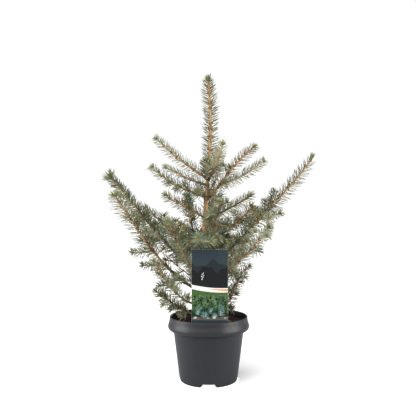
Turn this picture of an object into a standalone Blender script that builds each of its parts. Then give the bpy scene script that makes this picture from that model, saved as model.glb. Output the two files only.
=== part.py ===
"""Potted blue spruce: a young tree in a round nursery pot, with its plant label.

The frame has +Z up and its origin on the pot's axis, at the ground under the pot's
middle foot. -Y is the front, where the label stands, and +X is the right-hand side.
The trunk is whole from the soil to its tip. Each bough is one tapering limb that ends
where its needles begin, and the needles of each bough are one uneven closed sleeve
round the bough and its longer side shoots.
"""

import math
from typing import NamedTuple

import bmesh
import bpy
from mathutils import Matrix, Vector, noise

# ---- Driving dimensions, in metres and degrees ----

GAP = 0.0003                     # clearance between pieces that touch

POT_HEIGHT = 0.1475
POT_WALL = 0.002
POT_LIP = 0.0028                 # thickness of the lip on top of the collar
FOOT_RADIUS = 0.0640             # flat ring that the pot stands on
FOOT_WIDTH = 0.0050
BASE_RADIUS = 0.0667             # body at the ground, over its rounded edge
WAIST_RADIUS = 0.0810            # body just under the collar
COLLAR_FOOT = 0.1120             # height at which the collar springs from the body
COLLAR_UNDER_RADIUS = 0.0885     # rounded underside of the collar
COLLAR_RADIUS = 0.0948           # widest ring of the collar
COLLAR_BULGE = 0.1230            # its height
COLLAR_SHOULDER_RADIUS = 0.0936  # ring where the collar starts to draw in
COLLAR_SHOULDER = 0.1290         # its height
COLLAR_TOP = 0.1370              # height at which the collar turns upright
COLLAR_TUCK = 0.0016             # how far the bulge has drawn in at its lower edge
COLLAR_TUCK_DROP = 0.0045        # depth of that edge below the bulge
UNDER_LIFT = 0.0028              # rise of the collar's underside from body to bulge
CREASE = 0.0010                  # rounding where the collar meets the body
RIM_RADIUS = 0.0900
RIM_LEAN = 0.0006                # lean of the upright lip
LIP_ROUND = 0.0007
BASE_ROUND = 0.0030
BASE_ROUND_WIDTH = 0.0008
POT_SEGMENTS = 40

FLOOR_UNDERSIDE = 0.0085         # the pot's floor is raised on its ring and middle foot
MIDDLE_FOOT_RADIUS = 0.0140
FOOT_DRAFT = 0.0010              # lean of the feet's inner sides
NOTCH_COUNT = 4                  # drainage notches through the ring
NOTCH_WIDTH = 0.0340
NOTCH_TOP_WIDTH = 0.0240
NOTCH_HEIGHT = 0.0080
DRAIN_HOLE_RADIUS = 0.0045
DRAIN_HOLE_CIRCLE = 0.0420
DRAIN_HOLE_SIDES = 10

SOIL_TOP = 0.1360
SOIL_EDGE_DROP = 0.0012
SOIL_FLAT_RADIUS = 0.0250

CARD_WIDTH = 0.0800
CARD_TOP = 0.3056
CARD_SHOULDER = 0.1415
CARD_THICKNESS = 0.0008
CARD_MIDDLE_X = 0.0025
CARD_Y = -0.0720
CARD_CORNER = 0.0015
TAIL_WIDTH = 0.0240
TAIL_TOP = 0.1300
TAIL_POINT = 0.0880

TRUNK_TIP = 0.6950
FLARE_HEIGHT = 0.0150
FLARE_RINGS = (0.0, 0.004, 0.009)   # heights of the flare's rings above its foot
FLARE_RADIUS = 0.0110
# Height and sideways lean of the trunk's axis at the places where it bends.
TRUNK_BENDS = (
    (0.136, -0.0026),
    (0.151, -0.0030),
    (0.240, -0.0078),
    (0.335, -0.0107),
    (0.415, -0.0061),
    (0.485, -0.0009),
    (0.560, 0.0030),
    (0.625, 0.0028),
    (0.695, -0.0019),
)
# Height and radius of the trunk where its taper changes.
TRUNK_TAPER = ((0.151, 0.0080), (0.240, 0.0064), (0.345, 0.0052), (0.480, 0.0036), (0.695, 0.0016))
TRUNK_STEP = 0.035               # spacing of the trunk's rings
TRUNK_SIDES = 8

NEEDLE_REACH = 0.0140            # radius of a needle sleeve round its shoot
NEEDLE_OVERHANG = 0.0090         # needles past the tip of a shoot
LEADER_START = 0.4950            # height at which the leader's own needles begin
LEADER_TOP = 0.7070
SLEEVE_STEP = 0.026              # spacing of a sleeve's rings
SLEEVE_SIDES = 6
SLEEVE_UNEVENNESS = 0.22         # share of its reach that noise adds or takes away
SLEEVE_NOISE_SCALE = 42.0
SLEEVE_LUMP = 0.10               # share of its reach that thick and thin places change
SLEEVE_LUMP_TURN = 2.3           # turn of the wave of lumps from ring to ring
SLEEVE_START = 0.55              # share of its reach at a sleeve's first ring
SLEEVE_TIP = 0.42                # and at its last
BOUGH_PHASE = 1.7                # shift of the wave of lumps from bough to bough
LEADER_PHASE = 0.6
SHOOT_SLENDER = 0.88             # reach of a side shoot's needles beside its bough's
SHOOT_UPLIFT = 8.0               # growth of a side shoot's climb by its tip
SHOOT_LEAST = 0.032              # shorter side shoots stay inside the bough's own sleeve
BOUGH_SLICES = 48                # straight slices that a bough's curve is summed from
LIMB_STEP = 0.020
LIMB_SIDES = 6
LIMB_END = 0.004                 # straight last stretch of a limb
LIMB_LEAST_RADIUS = 0.0012
LIMB_SPREAD = 0.0055             # growth of a limb's radius for each metre of bough
LIMB_TAPER = 0.70                # share of its radius that a bough loses by its tip


class Shoot(NamedTuple):
    """One side shoot: its place on the bough, its turn off it, its climb and its length."""

    at: float
    turn: float
    rise: float
    length: float


class Bough(NamedTuple):
    """One main bough. The azimuth is 0 along +X and 270 to the front."""

    height: float                # of its fork on the trunk
    azimuth: float
    rise: tuple                  # climb at the fork, halfway and at the tip
    length: float
    bare: float                  # length without needles next to the trunk
    shoots: tuple = ()


BOUGHS = {
    "crown_left": Bough(0.465, 172, (35, 37, 48), 0.158, 0.030, (
        Shoot(0.46, 41, -12, 0.034),)),
    "crown_left_back": Bough(0.452, 143, (11, 21, 24), 0.139, 0.040),
    "crown_front": Bough(0.466, 292, (25, 40, 58), 0.113, 0.022, (
        Shoot(0.33, -60, 60, 0.036),)),
    "crown_back": Bough(0.470, 72, (30, 42, 52), 0.105, 0.022),
    "upper_left": Bough(0.424, 186, (18, 27, 44), 0.145, 0.030, (
        Shoot(0.60, 46, -14, 0.036),)),
    "upper_right": Bough(0.417, 338, (39, 52, 26), 0.172, 0.030, (
        Shoot(0.33, 26, 24, 0.116),)),
    "upper_back": Bough(0.425, 68, (30, 40, 50), 0.125, 0.028),
    "middle_left": Bough(0.375, 190, (35, 27, 34), 0.111, 0.030),
    "middle_back": Bough(0.335, 82, (38, 48, 60), 0.135, 0.030),
    "steep_back": Bough(0.321, 118, (-8, 57, 79), 0.159, 0.045, (
        Shoot(0.50, 60, 58, 0.041),)),
    "front_right": Bough(0.293, 291, (38, 53, 62), 0.167, 0.045, (
        Shoot(0.73, 44, 28, 0.094),
        Shoot(0.81, 60, 32, 0.030))),
    "right_mid": Bough(0.315, 325, (25, 32, 53), 0.157, 0.045, (
        Shoot(0.75, -90, 50, 0.030),
        Shoot(0.94, -50, -12, 0.060))),
    "left_mid": Bough(0.298, 152, (30, 30, 36), 0.196, 0.035, (
        Shoot(0.65, -46, 64, 0.034),
        Shoot(0.44, 47, 0, 0.030))),
    "front": Bough(0.300, 263, (20, 25, 35), 0.125, 0.035, (
        Shoot(0.42, -55, 30, 0.034),
        Shoot(0.50, 60, 20, 0.055))),
    "right_high": Bough(0.247, 8, (45, 45, 56), 0.373, 0.060, (
        Shoot(0.54, 60, 41, 0.070),
        Shoot(0.50, -47, 14, 0.069),
        Shoot(0.33, -53, 25, 0.054))),
    "right_low": Bough(0.206, 324, (37, 41, 48), 0.226, 0.060, (
        Shoot(0.70, 45, 0, 0.032),
        Shoot(0.94, 20, 92, 0.038))),
    "right_base": Bough(0.155, 20, (-15, 58, 33), 0.164, 0.040, (
        Shoot(0.54, -45, 40, 0.034),)),
    "front_left": Bough(0.216, 231, (35, 52, 59), 0.203, 0.050, (
        Shoot(0.77, 120, 58, 0.040),
        Shoot(0.71, -60, 42, 0.044))),
    "left_high": Bough(0.230, 169, (37, 47, 53), 0.347, 0.060, (
        Shoot(0.38, 48, 25, 0.060),
        Shoot(0.46, -60, 70, 0.035),
        Shoot(0.60, -49, 72, 0.042),
        Shoot(0.75, 50, 22, 0.038))),
    "left_low": Bough(0.194, 198, (22, 51, 54), 0.330, 0.050, (
        Shoot(0.33, 70, 40, 0.040),
        Shoot(0.40, -45, -2, 0.069),
        Shoot(0.52, -35, -3, 0.052),
        Shoot(0.54, 48, 70, 0.043))),
    "left_lower": Bough(0.170, 219, (3, 41, 60), 0.195, 0.045, (
        Shoot(0.31, 50, 39, 0.047),
        Shoot(0.52, 70, 35, 0.045),
        Shoot(0.67, -45, 5, 0.034))),
    "left_base": Bough(0.145, 176, (-1, 30, 37), 0.139, 0.045, (
        Shoot(0.65, 46, -6, 0.035),)),
    "back_low_left": Bough(0.180, 104, (12, 20, 35), 0.235, 0.045, (
        Shoot(0.50, -50, 15, 0.055),
        Shoot(0.62, 50, 20, 0.045))),
    "back_low_right": Bough(0.190, 62, (18, 26, 40), 0.225, 0.045, (
        Shoot(0.50, -50, 20, 0.050),
        Shoot(0.65, 50, 25, 0.045))),
    "back_mid": Bough(0.265, 84, (28, 36, 46), 0.225, 0.045, (
        Shoot(0.48, 52, 28, 0.055),
        Shoot(0.60, -50, 32, 0.045))),
    "back_left": Bough(0.215, 138, (22, 28, 40), 0.270, 0.045, (
        Shoot(0.42, -50, 30, 0.060),
        Shoot(0.58, 50, 25, 0.050))),
    "back_right": Bough(0.235, 42, (24, 30, 42), 0.260, 0.045, (
        Shoot(0.45, 50, 30, 0.060),
        Shoot(0.60, -50, 25, 0.050))),
}


# ---- Scene and mesh helpers ----

def clear_scene():
    """Remove every object that the scene holds."""
    for obj in list(bpy.data.objects):
        bpy.data.objects.remove(obj, do_unlink=True)


def make_collection(name):
    """Return a new collection linked to the scene."""
    collection = bpy.data.collections.new(name)
    bpy.context.scene.collection.children.link(collection)
    return collection


def make_material(name, colour, roughness):
    """Return a non-metallic Principled material of one colour."""
    material = bpy.data.materials.new(name)
    material.use_nodes = True
    shader = material.node_tree.nodes["Principled BSDF"]
    shader.inputs["Base Color"].default_value = (*colour, 1.0)
    shader.inputs["Roughness"].default_value = roughness
    shader.inputs["Metallic"].default_value = 0.0
    return material


def add_object(name, mesh, collection, material=None):
    """Link a mesh to a collection as a named object."""
    obj = bpy.data.objects.new(name, mesh)
    collection.objects.link(obj)
    if material is not None:
        mesh.materials.append(material)
    return obj


def add_cutter(name, mesh, cutters):
    """Link a mesh as a helper that other pieces are cut or joined with."""
    obj = add_object(name, mesh, cutters)
    obj.hide_render = True
    obj.display_type = "WIRE"
    return obj


def add_boolean(obj, other, operation):
    """Cut or join another object with an exact Boolean modifier."""
    modifier = obj.modifiers.new(f"{operation.lower()} {other.name}", "BOOLEAN")
    modifier.object = other
    modifier.operation = operation
    modifier.solver = "EXACT"


def smooth_shade(mesh, angle=40.0):
    """Shade a mesh smooth, with sharp edges where it turns by more than the angle."""
    mesh.shade_smooth()
    mesh.set_sharp_from_angle(angle=math.radians(angle))


def interpolate(table, position):
    """Read a value between the rows of a table of (position, value)."""
    for (low, first), (high, second) in zip(table, table[1:]):
        if position <= high:
            share = max(0.0, (position - low) / (high - low))
            return first + (second - first) * share
    return table[-1][1]


def tube_mesh(name, path, radii, sides):
    """Return a closed tube along a path, one radius for each point, with flat ends."""
    curve = bpy.data.curves.new(name, "CURVE")
    curve.dimensions = "3D"
    curve.bevel_depth = 1.0
    curve.bevel_resolution = (sides - 4) // 2
    curve.use_fill_caps = True
    spline = curve.splines.new("POLY")
    spline.points.add(len(path) - 1)
    for knot, point, radius in zip(spline.points, path, radii):
        knot.co = (*point, 1.0)
        knot.radius = radius
    carrier = bpy.data.objects.new(name, curve)
    bpy.context.scene.collection.objects.link(carrier)
    depsgraph = bpy.context.evaluated_depsgraph_get()
    mesh = bpy.data.meshes.new_from_object(carrier.evaluated_get(depsgraph))
    bpy.data.objects.remove(carrier, do_unlink=True)
    bpy.data.curves.remove(curve)
    mesh.name = name
    weld(mesh)
    return mesh


def weld(mesh):
    """Join a tube's loose end caps to its wall."""
    work = bmesh.new()
    work.from_mesh(mesh)
    bmesh.ops.remove_doubles(work, verts=work.verts, dist=1e-6)
    bmesh.ops.recalc_face_normals(work, faces=work.faces)
    work.to_mesh(mesh)
    work.free()


def turned_object(name, profile, collection, material):
    """Turn a profile of (radius, height), outer side downwards, round the Z axis."""
    work = bmesh.new()
    corners = [work.verts.new((radius, 0.0, height)) for radius, height in profile]
    for first, second in zip(corners, corners[1:]):
        work.edges.new((first, second))
    mesh = bpy.data.meshes.new(name)
    work.to_mesh(mesh)
    work.free()
    obj = add_object(name, mesh, collection, material)
    screw = obj.modifiers.new("turn", "SCREW")
    screw.axis = "Z"
    screw.angle = math.tau
    screw.steps = POT_SEGMENTS
    screw.render_steps = POT_SEGMENTS
    screw.use_merge_vertices = True
    screw.merge_threshold = 0.00005
    screw.use_smooth_shade = True
    return obj


# ---- Pot and soil ----

def pot_outer_profile():
    """Return the pot's outside from the lip down to the foot ring."""
    return [
        (RIM_RADIUS - LIP_ROUND, POT_HEIGHT),
        (RIM_RADIUS, POT_HEIGHT - LIP_ROUND),
        (RIM_RADIUS + RIM_LEAN, COLLAR_TOP),
        (COLLAR_SHOULDER_RADIUS, COLLAR_SHOULDER),
        (COLLAR_RADIUS, COLLAR_BULGE),
        (COLLAR_RADIUS - COLLAR_TUCK, COLLAR_BULGE - COLLAR_TUCK_DROP),
        (COLLAR_UNDER_RADIUS, COLLAR_FOOT + UNDER_LIFT),
        (WAIST_RADIUS + CREASE, COLLAR_FOOT + CREASE),
        (WAIST_RADIUS, COLLAR_FOOT - CREASE),
        (BASE_RADIUS, BASE_ROUND),
        (BASE_RADIUS - BASE_ROUND_WIDTH, BASE_ROUND_WIDTH),
        (FOOT_RADIUS, 0.0),
    ]


def pot_inner_profile():
    """Return the pot's inside from the edge of its floor up to the lip."""
    floor_top = FLOOR_UNDERSIDE + POT_WALL
    slope = (WAIST_RADIUS - BASE_RADIUS) / COLLAR_FOOT
    lip_radius = RIM_RADIUS - POT_LIP
    return [
        (BASE_RADIUS + slope * floor_top - POT_WALL, floor_top),
        (WAIST_RADIUS - POT_WALL, COLLAR_FOOT + CREASE),
        (COLLAR_UNDER_RADIUS - CREASE, COLLAR_FOOT + UNDER_LIFT + POT_WALL),
        (COLLAR_RADIUS - POT_WALL, COLLAR_BULGE),
        (lip_radius + RIM_LEAN, COLLAR_TOP),
        (lip_radius, POT_HEIGHT - LIP_ROUND),
        (lip_radius + LIP_ROUND, POT_HEIGHT),
    ]


def notch_mesh():
    """Return a wedge-sided block that cuts one drainage notch, along +X."""
    work = bmesh.new()
    inner = FOOT_RADIUS - 3 * FOOT_WIDTH
    outer = BASE_RADIUS + 2 * FOOT_WIDTH
    below = POT_WALL
    bmesh.ops.create_cube(work, size=1.0)
    for vert in work.verts:
        width = NOTCH_TOP_WIDTH if vert.co.z > 0 else NOTCH_WIDTH
        vert.co.x = outer if vert.co.x > 0 else inner
        vert.co.y = math.copysign(width / 2, vert.co.y)
        vert.co.z = NOTCH_HEIGHT if vert.co.z > 0 else -below
    mesh = bpy.data.meshes.new("notch")
    work.to_mesh(mesh)
    work.free()
    return mesh


def drain_hole_mesh():
    """Return a short cylinder that cuts one drainage hole through the floor."""
    work = bmesh.new()
    bmesh.ops.create_cone(
        work,
        cap_ends=True,
        segments=DRAIN_HOLE_SIDES,
        radius1=DRAIN_HOLE_RADIUS,
        radius2=DRAIN_HOLE_RADIUS,
        depth=4 * POT_WALL,
    )
    mesh = bpy.data.meshes.new("drain_hole")
    work.to_mesh(mesh)
    work.free()
    return mesh


def build_pot(parts, cutters, material):
    """Make the pot: a thin turned wall, with notches in its foot and holes in its floor."""
    profile = [(0.0, FLOOR_UNDERSIDE + POT_WALL)]
    profile += pot_inner_profile()
    profile += pot_outer_profile()
    profile += [
        (FOOT_RADIUS - FOOT_WIDTH, 0.0),
        (FOOT_RADIUS - FOOT_WIDTH - FOOT_DRAFT, FLOOR_UNDERSIDE),
        (MIDDLE_FOOT_RADIUS + FOOT_DRAFT, FLOOR_UNDERSIDE),
        (MIDDLE_FOOT_RADIUS, 0.0),
        (0.0, 0.0),
    ]
    pot = turned_object("pot", profile, parts, material)
    notch = notch_mesh()
    hole = drain_hole_mesh()
    for index in range(NOTCH_COUNT):
        angle = math.tau * index / NOTCH_COUNT
        cutter = add_cutter(f"notch_cutter_{index}", notch, cutters)
        cutter.rotation_euler.z = angle
        add_boolean(pot, cutter, "DIFFERENCE")
        drill = add_cutter(f"drain_cutter_{index}", hole, cutters)
        middle = FLOOR_UNDERSIDE + POT_WALL / 2
        drill.location = Matrix.Rotation(angle, 3, "Z") @ Vector((DRAIN_HOLE_CIRCLE, 0.0, middle))
        add_boolean(pot, drill, "DIFFERENCE")
    return pot


def build_soil(parts, material, label_slot):
    """Make the root ball's soil, which fills the pot up to just under its lip."""
    edge = SOIL_TOP - SOIL_EDGE_DROP
    wall = [(radius - GAP, height) for radius, height in pot_inner_profile() if height < edge]
    top_radius = interpolate([(h, r) for r, h in pot_inner_profile()], edge) - GAP
    profile = [(0.0, SOIL_TOP), (SOIL_FLAT_RADIUS, SOIL_TOP), (top_radius, edge)]
    profile += list(reversed(wall))
    floor_radius, floor_height = profile[-1]
    profile[-1] = (floor_radius, floor_height + GAP)
    profile.append((0.0, floor_height + GAP))
    soil = turned_object("soil", profile, parts, material)
    add_boolean(soil, label_slot, "DIFFERENCE")
    return soil


# ---- Plant label ----

def card_outline(margin):
    """Return the label's outline in X and Z, grown by a margin on every side."""
    half = CARD_WIDTH / 2 + margin
    tail = TAIL_WIDTH / 2 + margin
    top = CARD_TOP + margin
    return [
        (-half, CARD_SHOULDER - margin),
        (-tail, TAIL_TOP - margin),
        (-tail, TAIL_POINT + TAIL_WIDTH / 2),
        (0.0, TAIL_POINT - margin),
        (tail, TAIL_POINT + TAIL_WIDTH / 2),
        (tail, TAIL_TOP - margin),
        (half, CARD_SHOULDER - margin),
        (half, top - CARD_CORNER),
        (half - CARD_CORNER, top),
        (-half + CARD_CORNER, top),
        (-half, top - CARD_CORNER),
    ]


def card_mesh(name, margin):
    """Return the label as a flat outline with its thickness, grown by a margin."""
    curve = bpy.data.curves.new(name, "CURVE")
    curve.dimensions = "2D"
    curve.fill_mode = "BOTH"
    curve.extrude = CARD_THICKNESS / 2 + margin
    outline = card_outline(margin)
    spline = curve.splines.new("POLY")
    spline.points.add(len(outline) - 1)
    spline.use_cyclic_u = True
    for knot, (x, z) in zip(spline.points, outline):
        knot.co = (x, z, 0.0, 1.0)
    carrier = bpy.data.objects.new(name, curve)
    bpy.context.scene.collection.objects.link(carrier)
    depsgraph = bpy.context.evaluated_depsgraph_get()
    mesh = bpy.data.meshes.new_from_object(carrier.evaluated_get(depsgraph))
    bpy.data.objects.remove(carrier, do_unlink=True)
    bpy.data.curves.remove(curve)
    mesh.name = name
    weld(mesh)
    upright = Matrix.Translation((CARD_MIDDLE_X, CARD_Y, 0.0)) @ Matrix.Rotation(math.pi / 2, 4, "X")
    mesh.transform(upright)
    return mesh


def build_label(parts, cutters, material):
    """Make the label card and the slot that its tail fills in the soil."""
    card = add_object("label_card", card_mesh("label_card", 0.0), parts, material)
    slot = add_cutter("label_slot", card_mesh("label_slot", GAP), cutters)
    return card, slot


# ---- Trunk ----

def trunk_axis(height):
    """Return the point of the trunk's axis at a height."""
    return Vector((interpolate(TRUNK_BENDS, height), 0.0, height))


def trunk_radius(height):
    """Return the trunk's radius at a height, with its flare at the soil."""
    radius = interpolate(TRUNK_TAPER, height)
    above = (height - SOIL_TOP) / FLARE_HEIGHT
    if above < 1.0:
        radius += (FLARE_RADIUS - radius) * (1.0 - above) ** 2
    return radius


def trunk_mesh(name, margin):
    """Return the trunk from its flat cut on the soil to its tip, grown by a margin."""
    foot = SOIL_TOP + GAP
    flare = [foot + ring for ring in FLARE_RINGS] + [SOIL_TOP + FLARE_HEIGHT]
    steps = round((TRUNK_TIP - flare[-1]) / TRUNK_STEP)
    heights = flare + [
        flare[-1] + (TRUNK_TIP - flare[-1]) * step / steps for step in range(1, steps + 1)
    ]
    path = [trunk_axis(height) for height in heights]
    radii = [trunk_radius(height) + margin for height in heights]
    path[0].z -= margin
    path[-1].z += margin
    return tube_mesh(name, path, radii, TRUNK_SIDES)


def build_trunk(parts, cutters, material):
    """Make the trunk and the grown copy that the limbs and the leader's needles clear."""
    mesh = trunk_mesh("trunk", 0.0)
    smooth_shade(mesh)
    trunk = add_object("trunk", mesh, parts, material)
    clearance = add_cutter("trunk_clearance", trunk_mesh("trunk_clearance", GAP), cutters)
    return trunk, clearance


# ---- Boughs and needles ----

def direction(azimuth, climb):
    """Return the unit vector of an azimuth and a climb in degrees."""
    across = math.cos(math.radians(climb))
    return Vector((
        across * math.cos(math.radians(azimuth)),
        across * math.sin(math.radians(azimuth)),
        math.sin(math.radians(climb)),
    ))


def climb_at(rise, share):
    """Return the climb at a share of a bough, on a smooth curve through its three values."""
    low, middle, high = rise
    return (
        low * (1 - share) * (1 - 2 * share)
        + middle * 4 * share * (1 - share)
        + high * share * (2 * share - 1)
    )


def bough_point(bough, distance):
    """Return the point at a distance along a bough, which runs straight on past its tip."""
    point = trunk_axis(bough.height)
    step = bough.length / BOUGH_SLICES
    whole = min(int(distance / step), BOUGH_SLICES)
    for index in range(whole):
        point += direction(bough.azimuth, climb_at(bough.rise, (index + 0.5) / BOUGH_SLICES)) * step
    share = min(1.0, (whole + 0.5) / BOUGH_SLICES)
    return point + direction(bough.azimuth, climb_at(bough.rise, share)) * (distance - whole * step)


def stations(start, end, spacing):
    """Return evenly spaced distances from start to end, both included."""
    count = max(2, round((end - start) / spacing))
    return [start + (end - start) * index / count for index in range(count + 1)]


def limb_radius(bough, distance):
    """Return a limb's radius at a distance from its fork."""
    base = LIMB_LEAST_RADIUS + LIMB_SPREAD * bough.length
    return base * (1.0 - LIMB_TAPER * distance / bough.length)


def limb_end(bough):
    """Return where a limb meets its needles, and the heading that both end faces share."""
    joint = bough_point(bough, bough.bare)
    return joint, (bough_point(bough, bough.bare + SLEEVE_STEP) - joint).normalized()


def sleeve_radii(places, reach, phase):
    """Return the radii of a sleeve: narrow at both ends, lumpy between them."""
    length = places[-1] - places[0]
    radii = []
    for index, place in enumerate(places):
        along = (place - places[0]) / length
        fullness = min(1.0, SLEEVE_START + 3.0 * along, SLEEVE_TIP + 2.6 * (1.0 - along))
        lump = 1.0 + SLEEVE_LUMP * math.sin(SLEEVE_LUMP_TURN * index + phase)
        radii.append(reach * fullness * lump)
    return radii


def roughen(mesh, path):
    """Push a sleeve's skin in and out, at right angles to its path, by smooth noise."""
    for vert in mesh.vertices:
        nearest = min(path, key=lambda point: (vert.co - point).length_squared)
        push = 1.0 + SLEEVE_UNEVENNESS * noise.noise(vert.co * SLEEVE_NOISE_SCALE)
        vert.co = nearest + (vert.co - nearest) * push


def sleeve_mesh(name, path, places, reach, phase):
    """Return one uneven closed sleeve of needles along a path."""
    mesh = tube_mesh(name, path, sleeve_radii(places, reach, phase), SLEEVE_SIDES)
    roughen(mesh, path)
    return mesh


def shoot_path(bough, shoot, places):
    """Return the points of a side shoot, which bends up a little as it grows."""
    start = bough_point(bough, shoot.at * bough.length)
    heading = bough.azimuth + shoot.turn
    path = [start]
    for first, second in zip(places, places[1:]):
        share = (first + second) / 2 / shoot.length
        climb = shoot.rise + SHOOT_UPLIFT * share
        path.append(path[-1] + direction(heading, climb) * (second - first))
    return path


def build_limb(name, bough, parts, clearance, material):
    """Make one limb, from the trunk's skin to the first of its needles."""
    places = stations(0.0, bough.bare, LIMB_STEP)
    places.insert(-1, bough.bare - LIMB_END)
    joint, heading = limb_end(bough)
    path = [bough_point(bough, place) for place in places]
    path[-2] = joint - heading * LIMB_END
    path[-1] = joint - heading * GAP / 2
    radii = [limb_radius(bough, place) for place in places]
    mesh = tube_mesh(f"{name}_limb", path, radii, LIMB_SIDES)
    limb = add_object(f"{name}_limb", mesh, parts, material)
    add_boolean(limb, clearance, "DIFFERENCE")
    return limb


def build_needles(name, bough, parts, cutters, material, phase):
    """Make one bough's needles: its own sleeve joined with those of its side shoots."""
    places = stations(bough.bare, bough.length + NEEDLE_OVERHANG, SLEEVE_STEP)
    joint, heading = limb_end(bough)
    path = [bough_point(bough, place) for place in places]
    path[0] = joint + heading * GAP / 2
    mesh = sleeve_mesh(f"{name}_needles", path, places, NEEDLE_REACH, phase)
    needles = add_object(f"{name}_needles", mesh, parts, material)
    for index, shoot in enumerate(bough.shoots):
        if shoot.length < SHOOT_LEAST:
            continue
        shoot_places = stations(0.0, shoot.length + NEEDLE_OVERHANG, SLEEVE_STEP)
        path = shoot_path(bough, shoot, shoot_places)
        reach = NEEDLE_REACH * SHOOT_SLENDER
        shoot_name = f"{name}_shoot_{index}"
        side = sleeve_mesh(shoot_name, path, shoot_places, reach, phase + index)
        add_boolean(needles, add_cutter(shoot_name, side, cutters), "UNION")
    return needles


def build_leader_needles(parts, clearance, material):
    """Make the sleeve of needles round the leader, cut out round the trunk."""
    places = stations(LEADER_START, LEADER_TOP, SLEEVE_STEP)
    path = [trunk_axis(place) for place in places]
    mesh = sleeve_mesh("leader_needles", path, places, NEEDLE_REACH, LEADER_PHASE)
    needles = add_object("leader_needles", mesh, parts, material)
    add_boolean(needles, clearance, "DIFFERENCE")
    return needles


def main():
    """Build the whole plant in its pot."""
    clear_scene()
    parts = make_collection("potted blue spruce")
    cutters = make_collection("cutters")
    plastic = make_material("pot plastic", (0.060, 0.061, 0.066), 0.50)
    peat = make_material("potting soil", (0.022, 0.015, 0.011), 0.95)
    bark = make_material("bark", (0.330, 0.195, 0.085), 0.85)
    foliage = make_material("needle foliage", (0.145, 0.190, 0.160), 0.70)
    card = make_material("label card", (0.075, 0.085, 0.095), 0.45)
    build_pot(parts, cutters, plastic)
    label_slot = build_label(parts, cutters, card)[1]
    build_soil(parts, peat, label_slot)
    clearance = build_trunk(parts, cutters, bark)[1]
    for order, (name, bough) in enumerate(BOUGHS.items()):
        build_limb(name, bough, parts, clearance, bark)
        build_needles(name, bough, parts, cutters, foliage, BOUGH_PHASE * order)
    build_leader_needles(parts, clearance, foliage)


main()
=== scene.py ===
"""Looks of a young potted blue spruce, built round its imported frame.

Everything is in metres and in the frame's own axes: +Z up along the pot, -Y to the front where the
plant label stands, +X to the right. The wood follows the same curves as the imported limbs. Twigs,
buds and needles grow on from it by a seeded rule.
"""

from __future__ import annotations

import logging
import math
from dataclasses import dataclass, field, replace
from enum import Enum
from typing import Callable, Mapping, NamedTuple, Sequence

import bmesh
import bpy
import numpy as np
from mathutils import Matrix, Vector, noise


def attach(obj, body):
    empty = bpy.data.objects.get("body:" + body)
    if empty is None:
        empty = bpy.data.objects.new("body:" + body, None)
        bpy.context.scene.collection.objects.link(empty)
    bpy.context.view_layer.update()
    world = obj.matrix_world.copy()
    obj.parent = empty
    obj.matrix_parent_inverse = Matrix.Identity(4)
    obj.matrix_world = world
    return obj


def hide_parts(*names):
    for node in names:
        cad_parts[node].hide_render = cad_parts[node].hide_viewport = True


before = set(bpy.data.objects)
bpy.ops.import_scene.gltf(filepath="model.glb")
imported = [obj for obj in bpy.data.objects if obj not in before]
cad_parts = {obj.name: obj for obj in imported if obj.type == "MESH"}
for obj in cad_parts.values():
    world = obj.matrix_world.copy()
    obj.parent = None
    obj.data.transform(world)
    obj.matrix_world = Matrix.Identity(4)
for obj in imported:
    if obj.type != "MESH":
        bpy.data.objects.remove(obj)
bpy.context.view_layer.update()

LOG = logging.getLogger("potted_spruce")
SEED = 7251
GOLDEN_ANGLE = math.radians(137.508)
UP = np.array([0.0, 0.0, 1.0])
BARE_SIDE = np.array([0.0, -0.80, -0.60])
MERGE_DISTANCE = 1e-6
WHITE = (1.0, 1.0, 1.0, 1.0)

Colour = tuple[float, float, float, float]
Outline = list[tuple[float, float]]
Array = np.ndarray
BMesh = bmesh.types.BMesh
Socket = bpy.types.NodeSocket
Feed = Socket | Colour | float


# ---- Numbers and colours ----

def display_colour(red: float, green: float, blue: float) -> Colour:
    """Turn a display colour into the linear colour that a shader takes.

    Args:
        red: Red from 0 to 255.
        green: Green from 0 to 255.
        blue: Blue from 0 to 255.

    Returns:
        The linear colour with a full alpha.
    """
    linear = []
    for channel in (red, green, blue):
        share = channel / 255.0
        linear.append(share / 12.92 if share <= 0.04045 else ((share + 0.055) / 1.055) ** 2.4)
    return (linear[0], linear[1], linear[2], 1.0)


def turned(first: Array, second: Array, angle: Array) -> tuple[Array, Array]:
    """Return two coordinates after a turn of their plane by an angle."""
    sine, cosine = np.sin(angle), np.cos(angle)
    return first * cosine - second * sine, first * sine + second * cosine


def shaded(colour: Colour, factor: float) -> Colour:
    """Return a colour made darker or lighter by a factor."""
    return tuple(min(1.0, channel * factor) for channel in colour[:3]) + (1.0,)


def unit(rows: Array) -> Array:
    """Return the rows scaled to length 1."""
    return rows / np.maximum(np.linalg.norm(rows, axis=-1, keepdims=True), 1e-12)


def heading(azimuth: Array | float, climb: Array | float) -> Array:
    """Return unit vectors for azimuths and climbs.

    Args:
        azimuth: Degrees round +Z from +X.
        climb: Degrees above the level.

    Returns:
        One row for each direction.
    """
    turn, rise = np.radians(azimuth), np.radians(climb)
    level = np.cos(rise)
    return np.stack([level * np.cos(turn), level * np.sin(turn), np.sin(rise)], axis=-1)


def between(table: Sequence[tuple[float, float]], places: Array | float) -> Array:
    """Read a table of (place, value) at one or more places."""
    return np.interp(places, [row[0] for row in table], [row[1] for row in table])


# ---- Meshes ----

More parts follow.
